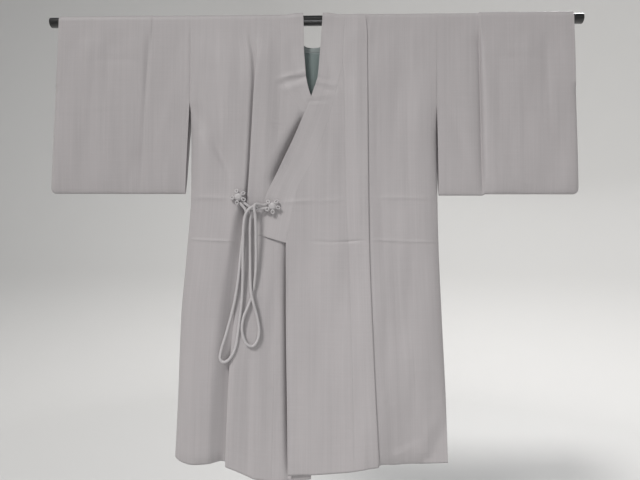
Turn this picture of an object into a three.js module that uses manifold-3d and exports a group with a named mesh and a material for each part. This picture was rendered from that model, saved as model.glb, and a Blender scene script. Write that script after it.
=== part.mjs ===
import * as THREE from "three";
import { mergeVertices } from "three/addons/utils/BufferGeometryUtils.js";
import Module from "manifold-3d";

// A dochugi, a kimono-cut coat tied with cords, hung through its sleeves on a round black rod.
// Millimetres. X runs to the viewer's right, the front faces -Y and Z is up. The origin is on the rod's axis
// at the middle of the neck. Left and right in the names are the wearer's, so "left" lies at +X.

// Rod
const ROD_RADIUS = 12.5;
const ROD_LENGTH = 1360;
const ROD_SIDES = 28;

// Cloth: walls, and the distance of its middle from the plane or axis of the rod
const WALL = 2;
const LINING_WALL = 1.2;
const HALF_SEAM = 0.2;
const SHOULDER_DEPTH = 14.3;
const LINING_DEPTH = 11.9;

// Heights of the main marks
const OKUMI_TIP_LEFT = -110;
const OKUMI_TIP_RIGHT = -150;
const OKUMI_TIP_CUT = 0.22;
const SLEEVE_SEAM_END = -215;
const SIDE_SEAM_START = -330;
const COLLAR_END = -572;
const HEM = -1115;
const HEM_CURVE_START = -900;
const NECK_BACK_DROP = -79;

// Sleeves: the armhole's edge, the bottom, the end of the open cuff, and the level below which the bottom curves
const ARMHOLE_X = 310.7;
const SLEEVE_HEM = -446;
const SLEEVE_LEVEL = -370;
const CUFF_END = -192;
const CUFF_X = 660;
const CUFF_ROUNDING = 20;
const SLEEVE_CORNER = 15;

// Side edges of the body are soft turns this wide
const SIDE_TURN = 60;

// Cords and flower knots
const CORD_RADIUS = 3.7;
const PETAL_RADIUS = 12.6;
const PETAL_LOOP = 2.8;
const PETAL_CORD = 1.8;
const PETAL_HEIGHT = 10;

// Colours
const COLOURS = {
  cloth: "#a8a4a5",
  collar: "#aaa6a7",
  lining: "#7c8a88",
  cord: "#b5b1b2",
  rod: "#0b0b0b",
};

// Rows of the cloth down the front and back, and the angles at which it turns over the rod
const FRONT_ROWS = [
  0, -40, -80, -110, -150, -185, -215, -250, -330, -380, -430, -480, -572, -650, -740, -840, -940, -1040, -1085, -1115,
];
const BACK_ROWS = [
  0, -22, -44, -59, -70, -77, -79, -112, -160, -215, -250, -330, -380, -430, -480, -572, -650, -740, -840, -940,
  -1040, -1085, -1115,
];
const OVER_ANGLES = [30, 60, 90, 120, 150];

// Edges and seams seen from the front. Columns: z, x
const NECK_SEAM_LEFT = [[0, 79.5], [-40, 78], [-80, 76.4], [-110, 75.4], [-150, 67.6], [-185, 59.4], [-215, 51.8],
  [-280, 34.4], [-363, 2.6], [-438, -36.5], [-480, -46], [-572, -63]];
const NECK_SEAM_RIGHT = [[0, -85], [-82, -80.2], [-150, -79], [-185, -63.6], [-215, -43.5], [-250, -17.5], [-275, -5],
  [-330, 5], [-430, 20], [-500, 30], [-572, 40]];
const OKUMI_SEAM_LEFT = [[-110, 75.4], [-150, 79], [-212, 80.3], [-463, 84.5], [-612, 92], [-805, 98.3],
  [-1115, 104.5]];
const OKUMI_SEAM_RIGHT = [[-150, -79], [-185, -81.5], [-250, -84], [-380, -90], [-572, -93], [-900, -90],
  [-1115, -92]];
const FRONT_EDGE_LEFT = [[-572, -63], [-710, -61.5], [-948, -56.3], [-1115, -52.5]];
const FRONT_EDGE_RIGHT = [[-572, 40], [-650, 38], [-800, 30], [-1115, 2]];
const SIDE_LEFT = [[0, ARMHOLE_X], [-250, 311.2], [-450, 313.2], [-561, 314.8], [-758, 321.9], [-952, 330], [-1115, 334]];
const SIDE_RIGHT = [[0, -ARMHOLE_X], [-250, -308.5], [-450, -306.7], [-588, -314.3], [-763, -326.2], [-960, -330],
  [-1115, -335]];

// Free edge of each half of the collar. Columns: z at the seam, z at the edge, x at the edge
const COLLAR_EDGE_LEFT = [[0, 0, 24.2], [-40, -40, 21.4], [-80, -81, 18.6], [-110, -112, 16.4], [-150, -150, 13.2],
  [-185, -184, 3.2], [-215, -214, -6.5], [-250, -243, -18], [-330, -306, -44.5], [-380, -352, -66],
  [-430, -404, -90.5], [-480, -461, -116.5], [-572, -552, -131]];
const COLLAR_EDGE_RIGHT = [[0, 0, -23.8], [-40, -40, -22.8], [-80, -82, -21.9], [-110, -112, -19.5],
  [-150, -150, -16.2], [-185, -184, -9], [-215, -214, 2], [-250, -250, 24], [-330, -318, 51], [-380, -366, 65],
  [-430, -416, 77], [-480, -466, 90], [-572, -552, 105]];

// Depths of the front layers from the rod's plane. Columns: z, depth
const UNDER_DEPTH = [[0, 14.3], [-80, 14.7], [-200, 15], [-380, 15.5], [-572, 17.2], [-800, 23], [-1115, 31]];
const LAP_DEPTH = [[0, 0], [-80, 0], [-150, 1.4], [-200, 3.8], [-330, 4.3], [-572, 4.6], [-800, 5.6], [-1115, 8]];
const LEFT_DEPTH = [[0, 14.3], [-80, 14.6], [-206, 15.4], [-380, 16.4], [-572, 18.5], [-800, 22.5], [-1115, 28]];
const EDGE_LIFT = [[0, 0], [-214, 0], [-260, 2.5], [-330, 6], [-380, 5], [-430, 0.8], [-480, 0], [-572, 0]];
const BACK_DEPTH = [[0, 14.3], [-200, 14.6], [-572, 16.5], [-1115, 20]];
const ARMHOLE_DEPTH = [[0, 14.3], [-120, 13.8], [SLEEVE_SEAM_END, 13], [-250, 8.5], [SIDE_SEAM_START, 0], [HEM, 0]];

// Long knife fold down each front, its left side on top. Columns: z, x of its edge, width, depth, share folded
const FOLD_LEFT = [[0, 136.6, 8, 6, 0.8], [-40, 137, 9, 6, 1], [-212, 137.8, 10, 6, 1], [-562, 141, 12, 6, 1],
  [-829, 150.2, 13, 6, 1], [-1115, 164, 14, 6.4, 1]];
const FOLD_RIGHT = [[0, -139, 4, 6, 0], [-40, -140, 6, 6, 0.12], [-110, -143, 8, 6, 0.75], [-185, -147, 9, 6.4, 1],
  [-452, -159.4, 12, 7.2, 1], [-540, -170, 14, 8, 1], [-711, -184.2, 15, 10, 1], [-902, -197, 16, 12, 1],
  [-1115, -203.6, 16, 13, 1]];

// Lower edges. Columns: x, z
const HEM_LEFT = [[-54, -1123], [5, -1121], [78, -1115], [135, -1105.5], [160, -1103.5], [170, -1101.5],
  [208, -1106], [288, -1105], [334, -1103]];
const HEM_RIGHT = [[-335, -1097], [-322, -1104], [-298, -1110], [-246, -1107], [-215, -1104], [-203, -1108],
  [-166, -1122], [-130, -1136], [-90, -1140], [-40, -1139], [2, -1134]];
const HEM_BACK = [[-335, -1097], [-322, -1104], [-280, -1112], [0, -1116], [280, -1112], [334, -1103]];

// Collar over the rod and round the back of the neck, where it folds outward.
// Columns: x and z of the fold, width turned down, its direction in degrees below +X, share folded
const COLLAR_OVER = [[24.6, 0, 4, 0, 0], [25, 0, 5, 0, 0], [27, 0, 7, 0, 0.4], [30, 0, 9, 0, 0.8], [33, 0, 11.5, 0, 1]];
const COLLAR_BACK = [[36, 0, 14, 20, 1], [38, -20, 24, 35, 1], [36, -39, 33, 50, 1], [30, -50, 39, 62, 1],
  [21.5, -58, 42, 72, 1], [12, -62.5, 43.5, 82, 1], [0, -64, 45, 90, 1]];
const NECK_BACK_X = [[0, 82], [-22, 72.3], [-44, 60], [-59, 47], [-70, 35], [-77, 21], [-79, 0]];

// Sleeves. Columns: z, depth; and z, x of the long crease
const SLEEVE_DEPTH = [[0, 14.3], [-120, 13.8], [SLEEVE_SEAM_END, 13], [-310, 11.4], [SLEEVE_LEVEL, 9.4], [-415, 6.8],
  [-437, 3.8]];
const SLEEVE_ROWS = [0, -60, -120, -178, CUFF_END, -250, -310, SLEEVE_LEVEL, -415, -437];
const CREASE_LEFT = [[0, 418.8], [SLEEVE_HEM, 428]];
const CREASE_RIGHT = [[0, 411], [SLEEVE_HEM, 431]];

// Each sleeve. Columns: name, side, crease, step of the cloth at the crease, how far the armhole's edge slants
// outward below the seam, and how much lower the bottom edge is inside the crease
const SLEEVES = [
  ["sleeve_left", 1, CREASE_LEFT, 1.5, 5.3, -3.5],
  ["sleeve_right", -1, CREASE_RIGHT, 1.5, 10.2, 0],
];

// Routes of the doubled cords: out of the flower knot, round the tie, down and up again, and back to the knot
const CORD_RIGHT_ROUTE = [
  [-178, -29.2, -470], [-171, -29.4, -478.5], [-163.5, -29.6, -488], [-160.5, -30, -500], [-162.5, -30.4, -525],
  [-169, -31, -564], [-173, -33, -610], [-176.5, -34.5, -654], [-184.5, -37.2, -712], [-202, -40, -786],
  [-215, -42, -832], [-216.5, -42.8, -850], [-208.5, -42.8, -857.5], [-196, -42.6, -852], [-181.5, -42, -838],
  [-172, -41, -819], [-166.3, -40.5, -786], [-165.2, -40, -750], [-165, -38.6, -710], [-165.4, -38.4, -654],
  [-165.8, -39, -613], [-165.4, -39.4, -564], [-163.6, -39.8, -527], [-159, -40.2, -503], [-153.5, -41, -488],
  [-146, -42.5, -478], [-136.5, -43, -473.5], [-129, -41, -480], [-132, -36, -490], [-142, -31, -492],
  [-152.5, -29.4, -485], [-162, -29.4, -476], [-169.8, -29.2, -468],
];
const CORD_LEFT_ROUTE = [
  [-107.6, -26.8, -484.2], [-117, -27, -490], [-128, -27.6, -500], [-139, -29, -508], [-147, -30.4, -518],
  [-150, -31, -535], [-150, -31.6, -564], [-148.8, -33, -613], [-147.2, -37.5, -664], [-143.5, -41.5, -695],
  [-138.5, -41, -716], [-129.5, -36, -752], [-125, -32.4, -782], [-128.5, -31.2, -806], [-139, -31, -820],
  [-151, -31, -817.5], [-160, -30.6, -804], [-165.4, -30.4, -780], [-162, -30.8, -751], [-152.8, -31.4, -727],
  [-143.5, -31.8, -700], [-137, -33, -664], [-134, -35, -613], [-134.6, -38, -564], [-133.6, -42, -527],
  [-134.4, -48, -503], [-136.8, -51.6, -488], [-135.8, -52.2, -476], [-129.5, -48, -468.5], [-123, -37.5, -470.5],
  [-118, -29.6, -474], [-111.8, -27, -475.4], [-107, -26.8, -475.8],
];

// Value of a column at a key, by a smooth curve that never overshoots its rows.
function along(rows, key, column = 1) {
  const keys = rows.map((row) => row[0]);
  const values = rows.map((row) => row[column]);
  const slopes = keys.slice(1).map((k, i) => (values[i + 1] - values[i]) / (k - keys[i]));
  const tangents = keys.map((_, i) => {
    if (i === 0) return slopes[0];
    if (i === keys.length - 1) return slopes[i - 1];
    const [before, after] = [slopes[i - 1], slopes[i]];
    return before * after <= 0 ? 0 : (2 * before * after) / (before + after);
  });
  const ascending = keys[1] > keys[0];
  let i = 0;
  while (i < keys.length - 2 && (ascending ? key > keys[i + 1] : key < keys[i + 1])) i += 1;
  const span = keys[i + 1] - keys[i];
  const t = THREE.MathUtils.clamp((key - keys[i]) / span, 0, 1);
  const a = 2 * t ** 3 - 3 * t ** 2 + 1;
  const b = t ** 3 - 2 * t ** 2 + t;
  const c = -2 * t ** 3 + 3 * t ** 2;
  const d = t ** 3 - t ** 2;
  return a * values[i] + b * span * tangents[i] + c * values[i + 1] + d * span * tangents[i + 1];
}

const mix = THREE.MathUtils.lerp;

// Straight line between the two rows at OUTER heights, for a point between them.
function chord(rows, z, upper, lower) {
  return mix(along(rows, upper), along(rows, lower), (z - upper) / (lower - upper));
}

// A point of the cloth at a station of the path that runs up the front, over the rod and down the back.
function place(station, x, depth, z = station.z) {
  if (station.part === "front") return new THREE.Vector3(x, -depth, z);
  if (station.part === "back") return new THREE.Vector3(x, depth, z);
  const angle = THREE.MathUtils.degToRad(station.angle);
  return new THREE.Vector3(x, -depth * Math.cos(angle), depth * Math.sin(angle));
}

const front = (z) => ({ part: "front", z });
const over = (angle) => ({ part: "over", angle, share: angle / 180 });
const back = (z) => ({ part: "back", z });
const PATH = [
  ...[...FRONT_ROWS].reverse().map(front),
  ...OVER_ANGLES.map(over),
  ...BACK_ROWS.map(back),
];

// Height of a point once the lower part of the cloth is stretched to its own hem line.
function hung(hemRows, x, z) {
  const share = THREE.MathUtils.clamp((HEM_CURVE_START - z) / (HEM_CURVE_START - HEM), 0, 1);
  return z + (along(hemRows, x) - HEM) * share ** 1.5;
}

// Closed solid of a wall's thickness about a grid of points, running left to right in each row and along the path
// from row to row. Points that coincide are one, so a grid may close on itself along a seam.
function wallAround(rows, wall) {
  const points = [];
  const numbers = new Map();
  const grid = rows.map((row) =>
    row.map((point) => {
      const key = point.toArray().map((v) => Math.round(v * 1000)).join();
      if (!numbers.has(key)) {
        numbers.set(key, points.length);
        points.push(point);
      }
      return numbers.get(key);
    }),
  );
  const triangles = [];
  const onFold = (i) => Math.abs(points[i].y) < 1e-6;
  for (let r = 0; r + 1 < grid.length; r += 1) {
    for (let c = 0; c + 1 < grid[r].length; c += 1) {
      const [p, q, s, t] = [grid[r][c], grid[r][c + 1], grid[r + 1][c + 1], grid[r + 1][c]];
      const pair = onFold(p) && onFold(s) ? [[p, q, t], [q, s, t]] : [[p, q, s], [p, s, t]];
      triangles.push(...pair.filter(([i, j, k]) => i !== j && j !== k && k !== i));
    }
  }
  const normals = points.map(() => new THREE.Vector3());
  for (const [i, j, k] of triangles) {
    const edge = points[j].clone().sub(points[i]);
    const normal = edge.cross(points[k].clone().sub(points[i]));
    for (const corner of [i, j, k]) normals[corner].add(normal);
  }
  const outer = points.map((point, i) => point.clone().addScaledVector(normals[i].normalize(), wall / 2));
  const inner = points.map((point, i) => point.clone().addScaledVector(normals[i], -wall / 2));
  const directed = new Set(triangles.flatMap(([i, j, k]) => [`${i},${j}`, `${j},${k}`, `${k},${i}`]));
  const n = points.length;
  const faces = [];
  for (const [i, j, k] of triangles) {
    faces.push([i, j, k], [i + n, k + n, j + n]);
    for (const [a, b] of [[i, j], [j, k], [k, i]]) {
      if (!directed.has(`${b},${a}`)) faces.push([b, a, a + n], [b, a + n, b + n]);
    }
  }
  const geometry = new THREE.BufferGeometry();
  const positions = [...outer, ...inner].flatMap((point) => point.toArray());
  geometry.setAttribute("position", new THREE.Float32BufferAttribute(positions, 3));
  geometry.setIndex(faces.flat());
  return geometry;
}

function material(colour, roughness, metalness = 0) {
  return new THREE.MeshStandardMaterial({ color: colour, roughness, metalness });
}

const coat = new THREE.Group();

function add(name, geometry, surface) {
  geometry.computeVertexNormals();
  const mesh = new THREE.Mesh(geometry, surface);
  mesh.name = name;
  coat.add(mesh);
}

// Rod, a plain round bar through both sleeves
const bar = new THREE.CylinderGeometry(ROD_RADIUS, ROD_RADIUS, ROD_LENGTH, ROD_SIDES);
bar.rotateZ(Math.PI / 2);
add("rod", bar, material(COLOURS.rod, 0.25, 0.1));

// State of a long knife fold at a station; it opens out over the rod and is gone at the back.
function foldAt(rows, station) {
  const z = station.part === "front" ? station.z : 0;
  const [x, width, depth, share] = [1, 2, 3, 4].map((column) => along(rows, z, column));
  const fade = station.part === "front" ? 1 : Math.max(0, 1 - (station.angle ?? 180) / 90);
  return { x, width, depth, share: share * fade };
}

// Eight points of a fold from its top layer on the left to the layer under it on the right: x and extra depth.
function foldPoints({ x, width, depth, share }) {
  const open = [-24, -16, -9, -3, 3, 9, 16, 24];
  const folded = [-width - 8, -3, 0, -3, 3 - width, -width, 3 - width, 8];
  const lift = [1, 1, 0.75, 0.5, 0.5, 0.25, 0, 0];
  return open.map((step, i) => [x + mix(step, folded[i], share), depth * share * lift[i]]);
}

// Share of the full depth at a distance from the side edge, a soft quarter turn.
function turn(distance) {
  const t = Math.min(1, Math.abs(distance) / SIDE_TURN);
  return (1 - (1 - t) ** 2) ** 0.6;
}

// Depth near the side edge: the armhole's own depth at the edge, the panel's depth further in.
function sideDepth(station, distance, depth) {
  const edge = along(ARMHOLE_DEPTH, station.z ?? 0);
  return mix(edge, depth, turn(distance));
}

const SIDE_STEPS = [40, 14, 4, 0];

// Body panels, each one strip from the front hem over the shoulder to the back hem, closed along the side seam
function bodyRow(station, sign) {
  const isLeft = sign > 0;
  const isBack = station.part === "back";
  const z = station.z ?? 0;
  const neckSeam = isLeft ? NECK_SEAM_LEFT : NECK_SEAM_RIGHT;
  const okumiSeam = isLeft ? OKUMI_SEAM_LEFT : OKUMI_SEAM_RIGHT;
  const okumiTip = isLeft ? OKUMI_TIP_LEFT : OKUMI_TIP_RIGHT;
  const fold = foldAt(isLeft ? FOLD_LEFT : FOLD_RIGHT, station);
  const hemRows = isBack ? HEM_BACK : isLeft ? HEM_LEFT : HEM_RIGHT;

  let inner = along(z >= okumiTip ? neckSeam : okumiSeam, z);
  if (station.part === "over") inner = mix(along(neckSeam, 0), sign * along(NECK_BACK_X, 0), station.share);
  if (isBack) inner = z >= NECK_BACK_DROP ? sign * along(NECK_BACK_X, z) : 0;
  inner += sign * HALF_SEAM;
  const side = along(isLeft ? SIDE_LEFT : SIDE_RIGHT, z) - sign * (WALL / 2 + HALF_SEAM);

  const panel = isBack ? along(BACK_DEPTH, z) : along(isLeft ? LEFT_DEPTH : UNDER_DEPTH, z);
  const seamDepth = isBack ? panel : along(UNDER_DEPTH, z) + (isLeft ? along(LAP_DEPTH, z) : 0);
  const folds = foldPoints(fold).map(([x, lift]) => [x, panel + lift]);
  const near = isLeft ? folds[7] : folds[0];
  const far = isLeft ? folds[0] : folds[7];
  const thirds = [1 / 3, 2 / 3].map((t) => [mix(near[0], side - sign * SIDE_STEPS[0], t), near[1]]);
  const edge = SIDE_STEPS.map((step) => [side - sign * step, sideDepth(station, step, near[1])]);
  const towardSeam = [[mix(inner, far[0], 0.5), mix(seamDepth, far[1], 0.5)], [inner, seamDepth]];
  const columns = isLeft
    ? [...towardSeam.reverse(), ...folds, ...thirds, ...edge]
    : [...[...thirds, ...edge].reverse(), ...folds, ...towardSeam];
  return columns.map(([x, depth]) => place(station, x, depth, hung(hemRows, x, z)));
}

const CLOTH = () => material(COLOURS.cloth, 0.7);
add("body_left", wallAround(PATH.map((station) => bodyRow(station, 1)), WALL), CLOTH());
add("body_right", wallAround(PATH.map((station) => bodyRow(station, -1)), WALL), CLOTH());

// Front overlap panels between the body's seam and the collar or front edge, pointed at the top
function okumi(sign) {
  const isLeft = sign > 0;
  const tip = isLeft ? OKUMI_TIP_LEFT : OKUMI_TIP_RIGHT;
  const below = FRONT_ROWS.filter((z) => z < tip);
  const top = mix(tip, below[0], OKUMI_TIP_CUT);
  const seam = isLeft ? OKUMI_SEAM_LEFT : OKUMI_SEAM_RIGHT;
  const neck = isLeft ? NECK_SEAM_LEFT : NECK_SEAM_RIGHT;
  const edge = isLeft ? FRONT_EDGE_LEFT : FRONT_EDGE_RIGHT;
  const rows = [top, ...below].map((z) => {
    const straight = z === top;
    const body = straight ? chord(seam, z, tip, below[0]) : along(seam, z);
    const free = straight ? chord(neck, z, tip, below[0]) : along(z >= COLLAR_END ? neck : edge, z);
    const [from, to] = [body - sign * HALF_SEAM, free + sign * HALF_SEAM].sort((a, b) => a - b);
    return [0, 0.25, 0.5, 0.75, 1].map((t) => {
      const x = mix(from, to, t);
      const depth = along(UNDER_DEPTH, z) + (isLeft ? along(LAP_DEPTH, z) : 0);
      return place(front(z), x, depth, hung(isLeft ? HEM_LEFT : HEM_RIGHT, x, z));
    });
  });
  return wallAround(rows.reverse(), WALL);
}
add("okumi_left", okumi(1), CLOTH());
add("okumi_right", okumi(-1), CLOTH());

// Collar band: flat down the front, turned outward and down round the back of the neck
const BAND_SHARES = [0, 0.2, 0.4, 0.55, 0.7, 0.85, 1];
const FOLD_STEP = 3;
const FOLD_DEPTH = 3.3;

function collarRow(station, sign) {
  const isLeft = sign > 0;
  const seamRows = isLeft ? NECK_SEAM_LEFT : NECK_SEAM_RIGHT;
  const edgeRows = isLeft ? COLLAR_EDGE_LEFT : COLLAR_EDGE_RIGHT;
  const depthAt = (z, share) =>
    along(UNDER_DEPTH, z) + (isLeft ? along(LAP_DEPTH, z) + along(EDGE_LIFT, z) * share ** 2 : 0);
  let points;
  if (station.part === "front") {
    const start = [along(seamRows, station.z) - sign * HALF_SEAM, station.z];
    const end = [along(edgeRows, station.z, 2), along(edgeRows, station.z)];
    points = BAND_SHARES.map((share) => {
      const z = mix(start[1], end[1], share);
      return place(station, mix(start[0], end[0], share), depthAt(z, share), z);
    });
  } else {
    const isOver = station.part === "over";
    const z = station.z ?? 0;
    const [foldX, foldZ, width, heading, folded] = isOver
      ? COLLAR_OVER[OVER_ANGLES.indexOf(station.angle)]
      : COLLAR_BACK[BACK_ROWS.indexOf(z)];
    const seamX = isOver
      ? mix(Math.abs(along(seamRows, 0)), along(NECK_BACK_X, 0), station.share)
      : along(NECK_BACK_X, z);
    const start = new THREE.Vector2(seamX - HALF_SEAM, z + (isOver ? 0 : HALF_SEAM));
    const crease = new THREE.Vector2(foldX, foldZ);
    if (seamX === 0) start.x = HALF_SEAM;
    if (foldX === 0) crease.x = HALF_SEAM;
    const angle = THREE.MathUtils.degToRad(heading);
    const down = new THREE.Vector2(Math.cos(angle), -Math.sin(angle));
    const stand = crease.clone().sub(start);
    const before = crease.clone().addScaledVector(stand.clone().normalize(), -FOLD_STEP);
    const turned = [FOLD_STEP, width * 0.55, width].map((w) => crease.clone().addScaledVector(down, w));
    const shaped = [start, start.clone().lerp(before, 0.5), before, crease, ...turned];
    const lift = [0, 0, 0, 0.5, 1, 1, 1];
    const depth = isOver ? SHOULDER_DEPTH : along(BACK_DEPTH, z);
    points = shaped.map((point, i) => {
      const flat = start.clone().lerp(new THREE.Vector2(foldX, foldZ), BAND_SHARES[i]);
      const at = flat.lerp(point, folded);
      return place(station, sign * at.x, depth + FOLD_DEPTH * lift[i] * folded, at.y);
    });
  }
  return isLeft ? points.reverse() : points;
}

const collarFoot = { front: COLLAR_END, back: NECK_BACK_DROP };
const COLLAR_PATH = PATH.filter(({ part, z }) => part === "over" || z >= collarFoot[part]);
for (const [name, sign] of [["collar_left", 1], ["collar_right", -1]]) {
  const rows = COLLAR_PATH.map((station) => collarRow(station, sign));
  add(name, wallAround(rows, WALL), material(COLOURS.collar, 0.7));
}

// Sleeves: a tube round the rod, open at the armhole and the cuff, closed along the bottom and below the cuff
const COLUMNS_TO_CREASE = [345, 385];
const COLUMNS_AT_CREASE = [-12, -2, 2, 14];
const COLUMNS_TO_CUFF = [500, 560, 610];
const COLUMNS_AT_CUFF = [CUFF_ROUNDING, 6, 0];

function sleeve(sign, crease, step, slant, drop) {
  const ring = [
    ...[...SLEEVE_ROWS].reverse().map(front),
    ...OVER_ANGLES.map(over),
    ...SLEEVE_ROWS.map(back),
  ];
  const creaseAt = (z) => along(crease, Math.max(z, SLEEVE_HEM));
  const columnsAt = (z) => {
    const slack = THREE.MathUtils.clamp((SLEEVE_SEAM_END - z) / (SLEEVE_SEAM_END - SLEEVE_HEM), 0, 1);
    return [
      ARMHOLE_X + HALF_SEAM + slant * slack,
      ...COLUMNS_TO_CREASE,
      ...COLUMNS_AT_CREASE.map((d) => creaseAt(z) + d),
      ...COLUMNS_TO_CUFF,
      ...COLUMNS_AT_CUFF.map((d) => CUFF_X - d),
    ];
  };
  const hemAt = (x, c) => {
    const d = THREE.MathUtils.clamp((x - (CUFF_X - SLEEVE_CORNER)) / SLEEVE_CORNER, 0, 1);
    return SLEEVE_HEM + SLEEVE_CORNER * (1 - Math.sqrt(1 - d * d)) + (x < c ? drop : 0);
  };
  const rowAt = (station, closing = false) => {
    const z = closing ? SLEEVE_HEM : (station.z ?? 0);
    const c = creaseAt(z);
    const points = columnsAt(z).map((x) => {
      const hem = hemAt(x, c);
      if (closing) return new THREE.Vector3(sign * x, 0, hem);
      const low = Math.max(0, (SLEEVE_LEVEL - z) / (SLEEVE_LEVEL - SLEEVE_HEM));
      const full = along(SLEEVE_DEPTH, z);
      const rise = station.part === "back" ? 0 : 1 - (station.angle ?? 0) / 180;
      const depth = full + (x > c ? step * rise * (full / SHOULDER_DEPTH) : 0);
      const d = (CUFF_X - x) / CUFF_ROUNDING;
      const share = z > CUFF_END || d >= 1 ? 1 : Math.sqrt(1 - (1 - d) ** 2);
      return place(station, sign * x, depth * share, z + low * (hem - SLEEVE_HEM));
    });
    return sign > 0 ? points : points.reverse();
  };
  const closing = rowAt(ring[0], true);
  return wallAround([closing, ...ring.map((station) => rowAt(station)), closing], WALL);
}
for (const [name, sign, crease, step, slant, drop] of SLEEVES) {
  add(name, sleeve(sign, crease, step, slant, drop), CLOTH());
}

// Back lining inside the neck. Columns: z, half width; its top edge follows the collar's fold
const LINING_ROWS = [[-90, 46], [-114, 60], [-160, 68], [-215, 70], [-262, 70]];
const LINING_TOP_HALF = 32;
const LINING_TOP = [[0, -67.5], [12, -66], [22, -62.5], [LINING_TOP_HALF, -54]];
const liningShares = [-1, -0.66, -0.33, 0, 0.33, 0.66, 1];
const liningPoint = (x, z) => new THREE.Vector3(x, LINING_DEPTH, z);
const liningTop = liningShares.map((t) => {
  const x = LINING_TOP_HALF * t;
  return liningPoint(x, along(LINING_TOP, Math.abs(x)));
});
const liningRows = LINING_ROWS.map(([z, half]) => liningShares.map((t) => liningPoint(half * t, z)));
add("back_lining", wallAround([liningTop, ...liningRows], LINING_WALL), material(COLOURS.lining, 0.6));

// Flower knots: a round button of cord with five small loops about it, all joined
const wasm = await Module();
wasm.setup();

function solid(geometry) {
  const bare = geometry.clone();
  bare.deleteAttribute("normal");
  bare.deleteAttribute("uv");
  const merged = mergeVertices(bare, 1e-4);
  const mesh = new wasm.Mesh({
    numProp: 3,
    vertProperties: new Float32Array(merged.attributes.position.array),
    triVerts: new Uint32Array(merged.index.array),
  });
  return new wasm.Manifold(mesh);
}

// Columns: radius, height
const BUTTON_PROFILE = [[0, 0], [9.6, 0], [10.3, 4], [10, 8], [8.4, 11.2], [5, 13.2], [0, 14]];

function flowerKnot(petalAngles) {
  const profile = BUTTON_PROFILE.map(([r, h]) => new THREE.Vector2(r, h));
  const button = new THREE.LatheGeometry(profile, 16);
  button.rotateX(Math.PI);
  let body = solid(button);
  for (const angle of petalAngles) {
    const turnBy = THREE.MathUtils.degToRad(angle);
    const loop = new THREE.TorusGeometry(PETAL_LOOP, PETAL_CORD, 6, 8);
    loop.rotateX(Math.PI / 2);
    loop.translate(PETAL_RADIUS * Math.cos(turnBy), -PETAL_HEIGHT, PETAL_RADIUS * Math.sin(turnBy));
    body = body.add(solid(loop));
  }
  const { vertProperties, triVerts } = body.getMesh();
  const geometry = new THREE.BufferGeometry();
  geometry.setAttribute("position", new THREE.BufferAttribute(new Float32Array(vertProperties), 3));
  geometry.setIndex(new THREE.BufferAttribute(new Uint32Array(triVerts), 1));
  return geometry;
}

// Columns: name, middle of the back, and the angles of the loops in degrees from +X toward +Z
const KNOTS = [
  ["knot_right", [-180, -24.9, -458], [107, 36, 333, 258, 190]],
  ["knot_left", [-96, -22.7, -480.5], [48, 345, 274, 212, 135]],
];
for (const [name, at, petals] of KNOTS) {
  const geometry = flowerKnot(petals);
  geometry.translate(...at);
  add(name, geometry, material(COLOURS.cord, 0.65));
}

// Tie cords: eight-sided round cords along their routes. Columns: name, route, steps along it
const CORD_SIDES = 8;
const CORDS = [["cord_right", CORD_RIGHT_ROUTE, 80], ["cord_left", CORD_LEFT_ROUTE, 72]];
for (const [name, route, steps] of CORDS) {
  const points = route.map((point) => new THREE.Vector3(...point));
  const path = new THREE.CatmullRomCurve3(points, false, "centripetal");
  const rim = Array.from({ length: CORD_SIDES }, (_, i) => {
    const angle = (2 * Math.PI * i) / CORD_SIDES;
    return new THREE.Vector2(CORD_RADIUS * Math.cos(angle), CORD_RADIUS * Math.sin(angle));
  });
  const section = new THREE.Shape(rim);
  const tube = new THREE.ExtrudeGeometry(section, { steps, extrudePath: path, bevelEnabled: false });
  add(name, tube, material(COLOURS.cord, 0.65));
}

export default coat;
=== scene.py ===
"""A dochugi, a kimono-cut coat tied with cords, hung through its sleeves on a round black rod. Metres."""

import math

import bpy
import numpy as np
from mathutils import Matrix, Vector


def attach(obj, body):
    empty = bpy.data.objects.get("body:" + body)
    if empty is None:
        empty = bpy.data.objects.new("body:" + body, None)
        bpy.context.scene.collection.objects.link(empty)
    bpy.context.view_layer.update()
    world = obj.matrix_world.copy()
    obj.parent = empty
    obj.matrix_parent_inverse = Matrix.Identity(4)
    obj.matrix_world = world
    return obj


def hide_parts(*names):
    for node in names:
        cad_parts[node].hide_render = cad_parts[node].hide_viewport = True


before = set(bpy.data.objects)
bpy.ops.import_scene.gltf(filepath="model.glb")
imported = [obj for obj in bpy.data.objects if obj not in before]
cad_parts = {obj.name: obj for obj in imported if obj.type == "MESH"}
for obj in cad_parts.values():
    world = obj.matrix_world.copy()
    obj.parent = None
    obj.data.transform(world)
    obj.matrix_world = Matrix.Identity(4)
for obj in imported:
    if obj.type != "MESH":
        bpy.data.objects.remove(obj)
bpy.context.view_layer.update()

# Camera
# It stands a little over a metre in front of the coat at the height of its waist, looks very slightly up,
# and has a wide lens.
CAMERA_PLACE = (0.0509, -1.1995, -0.6209)
CAMERA_YAW, CAMERA_PITCH, CAMERA_ROLL = (math.radians(a) for a in (1.465, 2.816, 0.262))
LENS_MM = 27
SENSOR_MM = 36

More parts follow.
